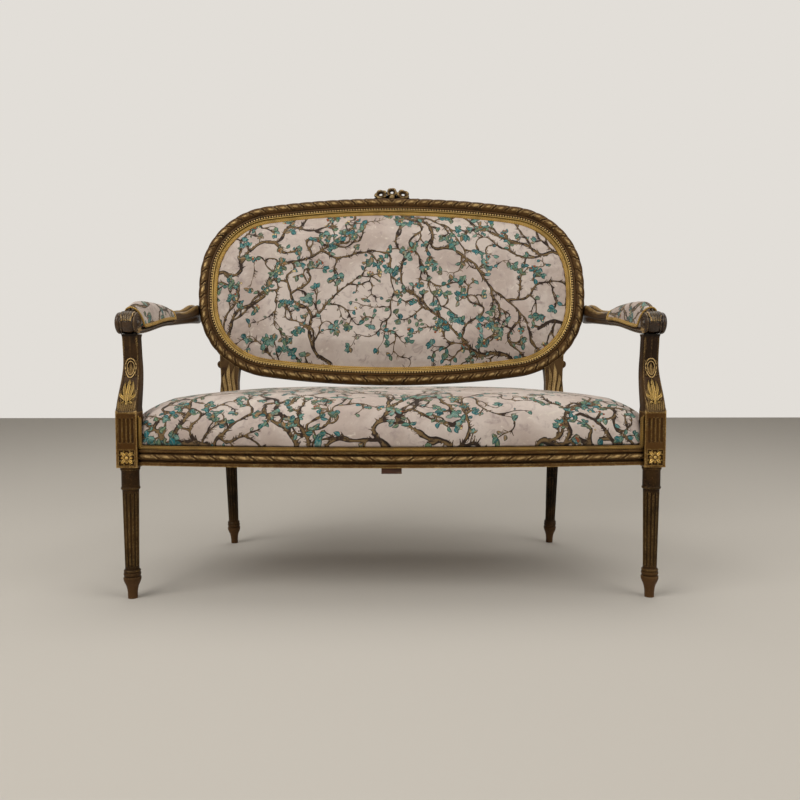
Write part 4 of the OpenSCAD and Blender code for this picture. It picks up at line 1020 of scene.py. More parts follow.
# %% Turn sprigs into distances
def twig_numbers(points, twigs):
    """How far points lie from the nearest twig, how far to its side, and its half width there."""
    far, side = np.full(points.total, 0.03), np.full(points.total, 0.03)
    half = np.zeros(points.total)
    for row in twigs:
        for (x0, y0, h0), (x1, y1, h1) in zip(row[:-1], row[1:]):
            who = points.near((x0, x1), (y0, y1), 0.0075 + max(h0, h1))
            if not len(who):
                continue
            d = np.array([x1 - x0, y1 - y0])
            long = hypot(*d)
            r = points.flat[who] - (x0, y0)
            t = np.clip(r @ d / long ** 2, 0, 1)
            gap = np.hypot(*(r - t[:, None] * d).T)
            best = gap < far[who]
            who, r, t, gap = who[best], r[best], t[best], gap[best]
            far[who] = gap
            side[who] = (r[:, 0] * d[1] - r[:, 1] * d[0]) / long
            half[who] = h0 + (h1 - h0) * t
    return {"twig_far": far, "twig_side": side, "twig_half": half}


def leaf_numbers(points, leaves):
    """How far points lie inside the outline of a leaf, how far beside its rib, and its tone."""
    edge, rib, shade = np.full(points.total, -0.006), np.zeros(points.total), np.zeros(points.total)
    for x, y, turn, length, wide, pick in leaves:
        mx, my = x + cos(turn) * length / 2, y + sin(turn) * length / 2
        who = points.near((mx,), (my,), length / 2 + 0.004)
        if not len(who):
            continue
        r = points.flat[who] - (x, y)
        along = r[:, 0] * cos(turn) + r[:, 1] * sin(turn)
        curl = 0.12 * length * np.sin(along / length * pi) * (1 if pick > 0.5 else -1)
        across = -r[:, 0] * sin(turn) + r[:, 1] * cos(turn) - curl
        s = np.clip(along / length, 0, 1)
        inside = wide * np.sin(pi * s ** 0.85) ** 0.8 - np.abs(across)
        beyond = np.maximum(-along, along - length)
        inside = np.where(beyond > 0, -np.hypot(beyond, across), inside)
        covers = (inside > 0) | (inside > edge[who])
        who = who[covers]
        edge[who], rib[who], shade[who] = inside[covers], across[covers], pick
    return {"leaf_edge": edge, "leaf_rib": rib, "leaf_tone": shade}


def berry_numbers(points, berries):
    """How far points lie inside the outline of a berry, and its tone."""
    ball, ball_tone = np.full(points.total, -0.006), np.zeros(points.total)
    for x, y, radius, pick in berries:
        who = points.near((x,), (y,), 0.008)
        gap = radius - np.hypot(*(points.flat[who] - (x, y)).T)
        best = gap > ball[who]
        ball[who[best]], ball_tone[who[best]] = gap[best], pick
    return {"berry_edge": ball, "berry_tone": ball_tone}


def print_sprigs(piece, flat, sprigs):
    """Stores on a cover how far each point lies from twigs, leaves and berries."""
    points = FlatPoints(flat)
    numbers = {**twig_numbers(points, sprigs.twigs + sprigs.stubs), **leaf_numbers(points, sprigs.leaves),
               **berry_numbers(points, sprigs.berries), "cloth_u": flat[:, 0], "cloth_v": flat[:, 1]}
    for name, values in numbers.items():
        mark(piece, name, values)
    print(f"{piece.name}: {len(sprigs.leaves)} leaves, {len(sprigs.berries)} berries, {points.total} points")


print("printing tools ready")


# %% The parts of the print
mm = 0.001
leaf_tones = ((0.0, (34, 122, 132)), (0.18, (84, 136, 122)), (0.30, (28, 94, 106)), (0.42, (106, 132, 98)),
              (0.56, (104, 154, 146)), (0.64, (40, 108, 104)), (0.74, (100, 106, 72)), (0.88, (154, 118, 76)))


def cloth_ground(finish, cloud, brush):
    ground = finish.mix(finish.step(cloud, 0.36, 0.64), tone(196, 180, 172), tone(218, 206, 199))
    ground = finish.mix(finish.step(brush, 0.52, 0.72), ground, tone(176, 160, 156))
    return finish.mix(finish.step(brush, 0.30, 0.42), tone(226, 216, 206), ground)


def cloth_twigs(finish, ground, brush):
    side, half, far = (finish.stored("twig_" + what) for what in ("side", "half", "far"))
    rough_half = finish.math("MULTIPLY_ADD", finish.math("SUBTRACT", brush, 0.5), 2.2 * mm, half)
    reach = finish.math("SUBTRACT", rough_half, finish.math("ABSOLUTE", side))
    on_twig = finish.step(reach, -0.25 * mm, 0.25 * mm, how="LINEAR")
    close = finish.step(finish.math("SUBTRACT", far, half), 3.6 * mm, 3.0 * mm, how="LINEAR")
    has_twig = finish.step(half, 0.2 * mm, 0.5 * mm, how="LINEAR")
    on_twig = finish.times(finish.times(on_twig, close), has_twig)
    across = finish.math("DIVIDE", side, finish.math("MAXIMUM", half, mm))
    rounded = finish.math("ABSOLUTE", finish.math("ADD", across, 0.15))
    bark = finish.mix(finish.step(rounded, 0.15, 0.70), tone(126, 102, 68), tone(38, 28, 20))
    bark = finish.mix(finish.step(brush, 0.47, 0.57), bark, tone(52, 38, 30))
    return finish.mix(on_twig, ground, bark)


def cloth_leaves(finish, colour, brush):
    edge, rib, pick = (finish.stored("leaf_" + what) for what in ("edge", "rib", "tone"))
    green = finish.node("ValToRGB", {0: pick})
    ramp = green.color_ramp
    ramp.interpolation = "CONSTANT"
    for k, (at, shade) in enumerate(leaf_tones):
        stop = ramp.elements[k] if k < 2 else ramp.elements.new(at)
        stop.position, stop.color = at, tone(*shade)
    green = green.outputs[0]
    leaf = finish.mix(finish.step(rib, -0.8 * mm, 0.9 * mm), green, tone(30, 74, 80))
    leaf = finish.mix(0.5, green, leaf)
    leaf = finish.stained(leaf, brush, 0.52, 0.66, 0.7, tone(140, 176, 168))
    leaf = finish.stained(leaf, finish.math("ABSOLUTE", rib), 0.55 * mm, 0.2 * mm, 0.6, tone(188, 194, 172))
    leaf = finish.stained(leaf, edge, 1.4 * mm, 0.6 * mm, 0.9, tone(30, 42, 38))
    return finish.mix(finish.step(edge, -0.2 * mm, 0.2 * mm, how="LINEAR"), colour, leaf)


def cloth_berries(finish, colour):
    ball = finish.stored("berry_edge")
    ripe = finish.step(finish.stored("berry_tone"), 0.45, 0.55)
    berry = finish.mix(ripe, tone(156, 82, 50), tone(224, 204, 150))
    berry = finish.mix(finish.step(ball, 1.0 * mm, 0.3 * mm), berry, tone(96, 58, 38))
    return finish.mix(finish.step(ball, -0.2 * mm, 0.2 * mm, how="LINEAR"), colour, berry)


print("a print in", len(leaf_tones), "leaf colours")


# %% The printed finish
thread_gap = 0.0011


def printed(name):
    finish = Finish(name)
    cloud, brush = finish.noise(7.0, 6.0, 0.62, 0.5), finish.noise(42.0, 5.0, 0.65, 0.8)
    grain = finish.noise(520.0, 3.0)
    colour = cloth_twigs(finish, cloth_ground(finish, cloud, brush), brush)
    colour = cloth_berries(finish, cloth_leaves(finish, colour, brush))
    fibre = finish.mix(grain, tone(150, 144, 138), tone(236, 230, 222))
    finish.shade({"Base Color": finish.mix(0.22, colour, fibre, "MULTIPLY"), "Roughness": 0.78,
                  "Specular IOR Level": 0.3, "Sheen Weight": 0.22, "Sheen Roughness": 0.45,
                  "Sheen Tint": (1.0, 0.96, 0.92, 1)})
    warp, weft = (finish.math("SINE", finish.times(finish.stored("cloth_" + way), 2 * pi / thread_gap))
                  for way in "uv")
    weave = finish.math("MULTIPLY_ADD", finish.times(warp, weft), 0.35, grain)
    finish.bump(brush, 0.35, 0.0016, finish.bump(weave, 0.3, 0.0004))
    return finish.material


printed_cloth = printed("printed_cloth")
print("printed finish ready")


# %% Sprigs for the covers
# Each stem: metres across and up, the way it heads in radians, and its length.
back_sprigs = grow(3, 1.04, 0.52, [
    (-0.50, -0.16, 0.5, 0.62), (-0.16, -0.25, 1.9, 0.46), (0.02, 0.25, -0.9, 0.60), (0.50, 0.10, 2.7, 0.60),
    (0.36, -0.24, 2.4, 0.50), (-0.50, 0.05, 0.3, 0.5), (-0.36, 0.25, -0.9, 0.4), (0.50, -0.10, 2.9, 0.4)],
    0.028)
seat_sprigs = grow(17, 1.46, 0.92, [
    (-0.72, -0.08, 0.5, 0.5), (-0.34, -0.44, 1.7, 0.46), (-0.12, 0.40, -1.9, 0.50), (0.02, -0.44, 1.2, 0.48),
    (0.72, -0.10, 2.6, 0.5), (0.30, -0.44, 1.0, 0.46), (-0.72, 0.24, -0.2, 0.45), (0.72, 0.22, -2.9, 0.45),
    (0.24, 0.40, -1.2, 0.45), (-0.50, -0.44, 2.2, 0.36), (0.48, -0.44, 2.0, 0.36), (-0.16, -0.44, 2.0, 0.44),
    (0.14, -0.44, 1.9, 0.44), (-0.60, -0.42, 0.9, 0.4), (0.62, -0.42, 2.5, 0.4), (-0.24, -0.44, 0.5, 0.4),
    (0.40, -0.44, 2.7, 0.4), (0.08, -0.44, 0.6, 0.4), (-0.06, -0.44, 2.7, 0.4), (-0.40, 0.42, -1.4, 0.4),
    (0.42, 0.42, -1.8, 0.4), (0.02, 0.42, -1.3, 0.4)], 0.025, 1.2)
arm_sprigs = grow(5, 0.42, 0.20, [
    (-0.2, -0.02, 0.3, 0.4), (0.2, 0.03, 3.0, 0.4), (-0.05, 0.10, -1.2, 0.3), (0.05, -0.10, 1.2, 0.3)])
rear_sprigs = grow(12, 1.04, 0.52, [
    (-0.50, 0.16, -0.5, 0.62), (0.16, -0.25, 1.4, 0.46), (-0.02, 0.25, -2.0, 0.60), (0.50, -0.10, 2.9, 0.60),
    (-0.36, -0.24, 0.9, 0.50), (0.36, 0.25, -2.2, 0.4)])
print([len(sprigs.twigs) for sprigs in (back_sprigs, seat_sprigs, arm_sprigs, rear_sprigs)], "twigs")


# %% Lay the covers flat
def ramp_down(value, low, high):
    """1 below low, 0 above high, with a straight step between them."""
    return np.clip((high - value) / (high - low), 0, 1)


def seat_unrolled(co):
    """The seat's cover laid flat: its upright front, sides and rear are folded out round its top."""
    x, y = co[:, 0], co[:, 1] - bench_y
    drop = np.maximum(0, seat_crown - 0.004 - co[:, 2])
    from_front = y - front_line(np.clip(x, -0.57, 0.57))
    from_side = side_line(y) - np.abs(x)
    from_rear = 0.478 - y
    to_side = np.clip((from_front - from_side) / 0.05 + 0.5, 0, 1)
    to_front = np.clip(1 - to_side, 0, 1) * ramp_down(y, 0.14, 0.24)
    to_rear = np.clip((from_side - from_rear) / 0.05 + 0.5, 0, 1) * ramp_down(from_rear, 0.06, 0.16)
    beside = to_side * ramp_down(from_side, 0.045, 0.075) * (1 - to_rear)
    return np.column_stack([x + np.sign(x) * drop * beside, y - 0.24 - drop * to_front + drop * to_rear])


def arm_unrolled(co, side):
    """The cover of an arm pad laid flat: along the arm, and round its arch."""
    t, shares = along_arm(co), np.linspace(0, 1, 101)
    off = np.abs(co[:, 0]) - np.interp(t, shares, arm_x(shares))
    wrap = off + np.sign(off) * np.maximum(0, 0.660 - co[:, 2]) * np.clip(np.abs(off) / 0.012, 0, 1)
    return np.column_stack([(t - 0.32) * arm_length + 0.02 * side, wrap * side + 0.01 * side])


print("flat seat", np.ptp(seat_unrolled(points_of(seat)), axis=0).round(2), "metres")


# %% Print the covers
print_sprigs(back_pad, off_lean(points_of(back_pad))[0], back_sprigs)
print_sprigs(seat, seat_unrolled(points_of(seat)), seat_sprigs)
print_sprigs(arm_pad_right, arm_unrolled(points_of(arm_pad_right), 1), arm_sprigs)
print_sprigs(arm_pad_left, arm_unrolled(points_of(arm_pad_left), -1), arm_sprigs)
for pad in (seat, back_pad, arm_pad_right, arm_pad_left):
    settle(pad, printed_cloth, 60)
seat.data.materials.append(hessian)
centres = np.array([f.center for f in seat.data.polygons])
seat.data.polygons.foreach_set("material_index", in_hollow(centres).astype(int))
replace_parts(seat, "seat_cover", "seat_stuffing")
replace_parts(back_pad, "back_cover", "back_stuffing")
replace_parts(arm_pad_right, "arm_cover_right", "arm_stuffing_right")
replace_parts(arm_pad_left, "arm_cover_left", "arm_stuffing_left")


# %% [markdown]
# ## Ribbon carving
# The outer roll of the oval and the small rod of the seat rails carry the same carving: a ribbon
# wound round a stick. One turn of the ribbon is modelled on a small grid, rolled round its rod,
# repeated in a row and then bent along the frame. The right half is mirrored for the left, so the
# ribbon leans the other way there, as on the real frame.

# %% One turn of ribbon
def ribbon_turn(length, rod, height, turns, facing, span, columns, rows):
    """One turn of ribbon along X. turns are the first and last angle round the rod in degrees, facing makes
    (y, z) of an angle, and span is how far round the carved band reaches, of the whole."""
    pick_nothing()
    bpy.ops.mesh.primitive_grid_add(x_subdivisions=columns, y_subdivisions=rows, size=1, location=(0, 0, 0))
    ribbon = bpy.context.object
    co = points_of(ribbon)
    along, around = co[:, 0] + 0.5, co[:, 1] * 2
    angle = radians(sum(turns) / 2) + around * radians((turns[1] - turns[0]) / 2)
    share = around / span
    phase = (along - 0.13 * share - 0.05 * np.sin(share * pi)) % 1.0
    slit = np.minimum(phase, 1 - phase)
    band = 1 - soft_step(np.abs(around), span * 0.8, span * 1.25)
    groove = np.exp(-((np.abs(around) - span * 1.15) / 0.075) ** 2)
    notch = np.exp(-(slit / 0.060) ** 2) * band
    curl = np.exp(-((slit - 0.13) / 0.045) ** 2) * band
    wave = np.sin(pi * phase)
    lift = band * (0.35 + 0.40 * wave ** 0.5 + 0.25 * curl) + (1 - band) * (0.25 + 0.75 * wave ** 0.8)
    lift = height * (0.25 + lift) - (height * 0.7 + 0.0012) * notch - 0.0006 * groove
    ends = np.clip((1 - np.abs(around)) / 0.12, 0, 1)
    reach = rod + lift * (0.45 + 0.55 * ends) - 0.0004 * (1 - ends)
    y, z = facing(angle)
    put_points(ribbon, np.column_stack([along * length, reach * y, reach * z]))
    glow = np.exp(-((phase - 0.5) / 0.27) ** 2) * np.exp(-(share / 0.62) ** 2)
    proud = 0.95 * glow + 0.35 * curl + 0.22 * (1 - band) * wave
    # Notches between turns, and the groove beside the band, go below zero, which paints near-black shade into
    # them.
    return raised(ribbon, np.where(notch > 0.4, -notch * 1.3, np.where(groove > 0.7, -0.25, proud)))


print("ribbon tool ready")


# %% Bend a row along a line
def bent_along(piece, line, count, pitch):
    """Repeats a piece in a row and bends the row along a flat line."""
    curve = bpy.data.curves.new("guide", "CURVE")
    curve.dimensions = "2D"
    guide = bpy.data.objects.new("guide", curve)
    spline = curve.splines.new("POLY")
    spline.points.add(len(line) - 1)
    spline.points.foreach_set("co", np.column_stack([line, np.zeros(len(line)), np.ones(len(line))]).ravel())
    bpy.context.scene.collection.objects.link(guide)
    bpy.context.view_layer.update()
    with_modifier(piece, "ARRAY", count=count, use_relative_offset=False, use_constant_offset=True,
                  constant_offset_displace=(pitch, 0, 0), use_merge_vertices=True, merge_threshold=0.00005)
    with_modifier(piece, "CURVE", object=guide, deform_axis="POS_X")
    bpy.data.objects.remove(guide)


def outward_faces(piece, middle):
    """Turns all faces round if they look inwards, towards a point inside."""
    piece.data.update()
    centres = np.array([face.center for face in piece.data.polygons])
    normals = np.array([face.normal for face in piece.data.polygons])
    if (normals * (centres - middle)).sum() < 0:
        inside_out(piece)


print("bending tool ready")


# %% Ribbon on the oval
ribbon_inset, ribbon_depth, ribbon_pitch = 0.011, 0.023, 0.0375
half_line, half_run = oval_line(ribbon_inset, 0.004, pi / 2, -pi / 2)
turns = round(half_run / ribbon_pitch)
ribbon = ribbon_turn(half_run / turns, rod=0.0112, height=0.0021, turns=(-96, 96), span=0.36,
                     facing=lambda a: (np.sin(a), np.cos(a)), columns=28, rows=17)
bent_along(ribbon, half_line, turns, half_run / turns)
co = points_of(ribbon)
put_points(ribbon, lean(co[:, :2], co[:, 2] + ribbon_depth))
outward_faces(ribbon, (0.3, bench_y + 0.6, 0.72))
settle_pair(ribbon, "ring_ribbon", carved_gilt, angle=40)
print(turns, "turns on each half of the oval")


# %% Ribbon on the rails
rod_height, rod_inset, rod_pitch = 0.3195, 0.0048, 0.042


def rail_ribbon(name, line, middle):
    """Ribbon on the rod of the right half of the front rail or of the side rail."""
    run = run_along(line)[-1]
    count = round(run / rod_pitch)
    piece = ribbon_turn(run / count, rod=0.0060, height=0.0013, turns=(-82, 96), span=0.58,
                        facing=lambda a: (-np.cos(a), np.sin(a)), columns=26, rows=11)
    bent_along(piece, line, count, run / count)
    put_points(piece, points_of(piece) + (0, 0, rod_height))
    outward_faces(piece, middle)
    print(name, count, "turns on each side")
    return named(piece, name)


rail_x, side_length = np.linspace(0, 0.556, 140), 0.424
front_rod = np.column_stack([rail_x, front_line(rail_x, 0.003 - rod_inset) + bench_y])
side_front = np.array([0.5932 - rod_inset, 0.024 + bench_y])
side_rod = np.linspace(side_front, side_front + (-side_slope * side_length, side_length), 30)
front_ribbon = rail_ribbon("front_ribbon", front_rod, (0.25, 0.3, 0.318))
side_ribbon = rail_ribbon("side_ribbon", side_rod, (0.3, 0.0, 0.318))
settle_pair(front_ribbon, "front_ribbon", carved_gilt, angle=40)
settle_pair(side_ribbon, "side_ribbon", carved_gilt, angle=40)


# %% [markdown]
# ## Beads
# Inside the ribbon runs a string of small beads. There are more than three hundred, so one bead has
# only a few dozen faces, and the string is again one bead repeated and bent along the oval.

# %% String the beads
bead_radius, bead_gap, bead_inset, bead_depth = 0.0031, 0.0076, 0.0325, 0.0292
bead_line, bead_run = oval_line(bead_inset, 0.003, pi / 2, -pi / 2)
beads = round(bead_run / bead_gap)
pick_nothing()
bpy.ops.mesh.primitive_uv_sphere_add(segments=8, ring_count=5, radius=bead_radius, location=(0, 0, 0))
bead = bpy.context.object
co = points_of(bead)
# The rear half of each bead goes a little below zero, which paints shade between the beads and the frame.
raised(bead, np.clip(co[:, 2] / bead_radius, -0.5, 1) * 0.55)
put_points(bead, co * (1.1, 1, 1) + (bead_gap / 2, 0, 0))
bent_along(bead, bead_line, beads, bead_run / beads)
co = points_of(bead)
put_points(bead, lean(co[:, :2], co[:, 2] + bead_depth))
settle_pair(bead, "ring_beads", carved_gilt, angle=80)
print(beads, "beads on each half")


# %% [markdown]
# ## Cord trimming
# Where a cover meets the wood, its tacks are hidden under a glued trimming: two twisted cords side by
# side with a fine bright cord between them. Each is a tube swept along its line. The twist is drawn
# by the finish from two numbers stored on the tube, how far along and how far round a point lies, and
# each strand is painted light on its crest and dark between strands, as painted highlight and shade.

# %% The cord finish
def trimming(name, dark, light, strands, lay):
    """Twisted strands, each of which goes once round the cord in the length of its lay. Each strand is
    painted light on its crest and dark between strands: painted highlight and shade.
    """
    finish = Finish(name)
    dirt, fuzz = finish.noise(30.0, 5.0), finish.noise(1500.0, 2.0)
    round_it = finish.times(finish.stored("around"), strands)
    turn = finish.math("MULTIPLY_ADD", finish.stored("along"), 2 * pi / lay, round_it)
    ply = finish.math("ABSOLUTE", finish.math("SINE", finish.times(turn, 0.5)))
    # Light on each strand's crest, dark between strands: painted highlight and shade.
    colour = finish.mix(finish.step(ply, 0.1, 0.85), dark, light)
    colour = finish.stained(colour, dirt, 0.42, 0.72, 0.6, dark)
    colour = finish.stained(colour, fuzz, 0.4, 0.8, 0.35, light)
    finish.shade({"Base Color": colour, "Roughness": 0.6, "Sheen Weight": 0.05})
    finish.bump(finish.math("MULTIPLY_ADD", fuzz, 0.15, ply), 0.7, 0.0012)
    return finish.material


mustard_cord = trimming("mustard_cord", tone(108, 80, 26), tone(204, 162, 76), 3, 0.0052)
bright_cord = trimming("bright_cord", tone(146, 110, 48), tone(226, 192, 114), 2, 0.0030)
# The seat's cords are darker copies of the same cords: painted shade along the seat rail.
shaded_seat_mustard = trimming("seat_mustard_cord_shaded", tone(70, 49, 9), tone(146, 108, 30), 3, 0.0052)
shaded_seat_bright = trimming("seat_bright_cord_shaded", tone(104, 76, 26), tone(184, 146, 66), 2, 0.0030)
print("cord finishes ready")


# %% Sweep cords
def cord(name, path, up, radius, closed=False, round_steps=2):
    """A tube along a path, with stored numbers along and around it. up is a direction, or one per point."""
    pick_nothing()
    curve = bpy.data.curves.new(name, "CURVE")
    curve.dimensions = "3D"
    spline = curve.splines.new("POLY")
    spline.points.add(len(path) - 1)
    spline.points.foreach_set("co", np.column_stack([path, np.ones(len(path))]).ravel())
    spline.use_cyclic_u = closed
    curve.bevel_depth, curve.bevel_resolution, curve.use_fill_caps = radius, round_steps, not closed
    tube = bpy.data.objects.new(name, curve)
    bpy.context.scene.collection.objects.link(tube)
    work_on(tube)
    bpy.ops.object.convert(target="MESH")
    tube = bpy.context.object
    co, run, way = points_of(tube), run_along(path), directions(path, closed)
    up = np.broadcast_to(np.asarray(up, float), path.shape)
    near = np.concatenate([((part[:, None] - path[None]) ** 2).sum(-1).argmin(1)
                           for part in np.array_split(co, max(1, len(co) // 2000))])
    off = co - path[near]
    side = np.cross(up[near], way[near])
    mark(tube, "along", run[near] + (off * way[near]).sum(1))
    mark(tube, "around", np.arctan2((off * side).sum(1), (off * up[near]).sum(1)))
    return tube


print("cord tool ready")


# %% Join cords as a trimming
def trim(name, cords, path_of, closed=False):
    """Cords side by side, joined as one trimming. Each has a radius, a finish and a place, and path_of makes
    the path of a place, with the way that is up along it."""
    parts = []
    for k, (radius, finish, *place) in enumerate(cords):
        parts.append(cord(f"{name}_{k}", *path_of(*place), radius, closed))
        parts[k].data.materials.append(finish)
    whole = joined(parts, name)
    smooth(whole, 60)
    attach(whole, "root")
    print(f"{name}: {len(whole.data.polygons)} faces")
    return whole


print("trimming tool ready")


# %% Trim the back
def ring_path(inset, depth):
    return lean(oval_line(inset, 0.006)[0][:-1], depth), lean_out


# For each cord: radius, finish, metres in from the oval's outline, and metres before the rear face.
back_cords = ((0.0034, mustard_cord, 0.0392, 0.0212), (0.0034, mustard_cord, 0.0461, 0.0218),
              (0.0015, bright_cord, 0.0426, 0.0238))
rear_cords = ((0.0027, mustard_cord, 0.0305, -0.0026), (0.0027, mustard_cord, 0.0357, -0.0028),
              (0.0013, bright_cord, 0.0331, -0.0046))
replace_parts(trim("back_trimming", back_cords, ring_path, closed=True), "back_braid")
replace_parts(trim("rear_trimming", rear_cords, ring_path, closed=True), "rear_braid")

fillet_inset, fillet_depth, fillet_radius = 0.0364, 0.0286, 0.0013
fillet_path = ring_path(fillet_inset, fillet_depth)
fillet = cord("ring_fillet", *fillet_path, fillet_radius, closed=True, round_steps=1)
settle(raised(fillet, 0.8), flame_gilt, 60)


# %% Trim the seat
# For each cord: radius, finish, height, and how far out from the line where the cover meets the rail.
seat_cords = ((0.0023, shaded_seat_mustard, 0.3380, 0.0014), (0.0023, shaded_seat_mustard, 0.3424, 0.0016),
              (0.0012, shaded_seat_bright, 0.3402, 0.0034))
# Beside the leg blocks: how far to the side each cord climbs, and to what height.
post_places = ((0.5548, 0.411), (0.5502, 0.407), (0.5525, 0.409))
side_ends = (0.0315, 0.4475)
rear_end, rear_y = 0.4265, 0.4832


def front_path(height, out, post_x, post_top):
    """Along the front rail, up beside both leg blocks, with a curl at the top."""
    x = np.linspace(0.0035 - post_x, post_x - 0.0035, 180)
    row = np.column_stack([x, front_line(x, out) + bench_y, np.full(len(x), height)])
    turn = [(post_x - 0.001, height + 0.0012), (post_x, height + 0.004)]
    climb = [(post_x, z) for z in np.linspace(height + 0.008, post_top - 0.006, 9)]
    curl = [(post_x + 0.0008, post_top - 0.003), (post_x + 0.0022, post_top - 0.0008)]
    right = np.array([(px, float(front_line(px, out + 0.0022 * min(1, (z - height) / 0.03))) + bench_y, z)
                      for px, z in turn + climb + curl])
    return np.vstack([right[::-1] * (-1, 1, 1), row, right]), (0, -1, 0)


def side_path(height, out, side):
    first, last = ((side * (side_line(y) + out), y + bench_y, height) for y in side_ends)
    return np.linspace(first, last, 90), (side, 0, 0)


def rear_path(height, out):
    y = bench_y + rear_y + out
    return np.linspace((-rear_end, y, height), (rear_end, y, height), 90), (0, 1, 0)


front_cords = [seat_cord + post for seat_cord, post in zip(seat_cords, post_places)]
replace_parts(trim("seat_front_trimming", front_cords, front_path), "seat_braid")
for side, name in ((1, "right"), (-1, "left")):
    trim(f"seat_{name}_trimming", [seat_cord + (side,) for seat_cord in seat_cords], side_path)
trim("seat_rear_trimming", seat_cords, rear_path)


# %% Trim the arm pads
def pad_path(side, out, lift):
    """A closed line round an arm pad: along its foot, up and over both blunt ends."""
    front = [pad_point(0, pi - pi * k / 30, out) for k in range(31)]
    foot_in = [pad_point(k / 60, 0, out) for k in range(1, 60)]
    rear = [pad_point(1, pi * k / 30, out) for k in range(31)]
    foot_out = [pad_point(1 - k / 60, pi, out) for k in range(1, 60)]
    loop = np.vstack([np.array(front) + (0, lift, 0), np.array(foot_in) + (0, 0, lift),
                      np.array(rear) - (0, lift, 0), np.array(foot_out) + (0, 0, lift)])
    loop = np.vstack([loop, loop[:1]])
    for _ in range(3):
        loop[1:-1] = (loop[:-2] + loop[1:-1] * 2 + loop[2:]) / 4
    path = even_points(loop, 221)[:-1] * (side, 1, 1)
    up = (path - path.mean(axis=0)) * (1, 0, 1)
    up = np.where(np.linalg.norm(up, axis=1, keepdims=True) > 0.005, up, (0, -1, 0))
    return path, up / np.linalg.norm(up, axis=1, keepdims=True)


for side, name in ((1, "right"), (-1, "left")):
    arm_cords = ((0.0021, mustard_cord, side, 0.0010, 0.0006), (0.0021, mustard_cord, side, 0.0008, 0.0047),
                 (0.0011, bright_cord, side, 0.0024, 0.0027))
    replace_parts(trim(f"arm_{name}_trimming", arm_cords, pad_path, closed=True), f"arm_braid_{name}")


# %% [markdown]
# ## The arms
# Each arm is one piece of carved beech: a body with rounded flanks and a gilded ridge behind the pad,
# and at the front a scroll, which is turned in section but carved all round. The scroll is drawn as
# rings from its inner eye to its outer lobe. A spiral is cut into both ends, gadroons swell round the
# middle, and narrow beaded grooves part them.

# %% The scroll
# Rings of the right scroll, all in millimetres: distance from its inner end, radius, depth of the
# spiral and depth of the gadroons.
scroll_rows = (
    (-3.4, 2.6, 0, 0), (-2.6, 4.4, 0, 0), (-1.2, 5.6, 0, 0), (0.6, 6.2, 0, 0), (1.0, 7.4, 0.8, 0),
    (0.2, 9.0, 1.6, 0), (0.0, 11, 1.8, 0), (0.0, 13, 1.8, 0), (0.0, 15, 1.8, 0), (0.0, 17, 1.8, 0),
    (0.0, 19, 1.6, 0), (0.0, 21, 1.2, 0), (0.5, 22.6, 0.6, 0), (1.8, 23.9, 0, 0), (3.6, 24.3, 0, 0),
    (5.2, 23.6, 0, 0), (6.0, 22.5, 0, 0), (6.8, 22.4, 0, 0), (7.6, 23.3, 0, 0.2), (9.6, 24.0, 0, 0.8),
    (13, 24.7, 0, 1.3), (17, 25.0, 0, 1.5), (21, 25.0, 0, 1.5), (25, 24.6, 0, 1.3), (28, 23.8, 0, 0.8),
    (29.6, 22.9, 0, 0.2), (30.2, 22.1, 0, 0), (30.8, 22.1, 0, 0), (31.6, 23.2, 0, 0.5),
    (33.2, 23.6, 0, 0.9), (34.8, 23.2, 0, 0.5), (35.6, 22.0, 0, 0), (36.2, 22.0, 0, 0), (37.4, 23.6, 0, 0),
    (40, 24.4, 0, 0), (43, 23.9, 0, 0), (45.4, 22.2, 0.3, 0), (46.8, 19.8, 0.9, 0), (47.4, 17.5, 1.4, 0),
    (47.6, 15, 1.6, 0), (47.6, 13, 1.6, 0), (47.6, 11, 1.6, 0), (47.4, 9, 1.4, 0), (46.8, 7.4, 0.6, 0),
    (47.4, 6.2, 0, 0), (49.0, 5.2, 0, 0), (50.0, 3.6, 0, 0))
scroll_inner, coil_pitch, scroll_points = 0.5655, 6.4, 56
scroll_middle = (bench_y + 0.0310, 0.6140)


def on_scroll(x, far, around):
    """A place round the axis of the right scroll."""
    return x, scroll_middle[0] + far * cos(around), scroll_middle[1] + far * sin(around)


def scroll_ring(x, radius, spiral, gadroon):
    """One ring of the scroll: near its inner end the spiral is cut one way, near its outer end the other."""
    ring = []
    way = 1 if x < 20 else -1
    for a in np.arange(scroll_points) * 2 * pi / scroll_points:
        coil = way * spiral * (0.5 + 0.5 * cos(2 * pi * radius / coil_pitch - way * a))
        beaded = 31 < x < 35.5
        swell = cos(a * 18) if beaded else abs(cos(a * 7 + (x - 17) * 0.045)) - 0.6
        ring.append(on_scroll(scroll_inner + (x + coil) / 1000, (radius + gadroon * swell) / 1000, a))
    return ring


scroll = drawn("scroll", [scroll_ring(*row) for row in scroll_rows], (0.5615, *scroll_middle),
               (0.6160, *scroll_middle))
co = points_of(scroll)
across, off = co[:, 0], co[:, 1:] - scroll_middle
flank, around = np.hypot(*off.T) * 1000, np.arctan2(off[:, 1], off[:, 0])
on_gadroons = (across > 0.574) & (across < 0.596)
shares = np.clip(np.where(on_gadroons, (flank - 24.2) / 1.6, (flank - 23.2) / 1.8), 0, 0.6)
coil = np.cos(2 * pi * flank / coil_pitch - np.where(across < 0.59, around, -around))
on_end = (flank < 22) & ((across < 0.5700) | (across > 0.6095))
# In the spiral grooves of both ends the value goes below zero, which paints shade into them.
raised(scroll, np.where(on_end, np.where(flank < 6.5, 0.7, 0.05 - 0.75 * coil), shares))
print("scroll", len(scroll.data.polygons), "faces")


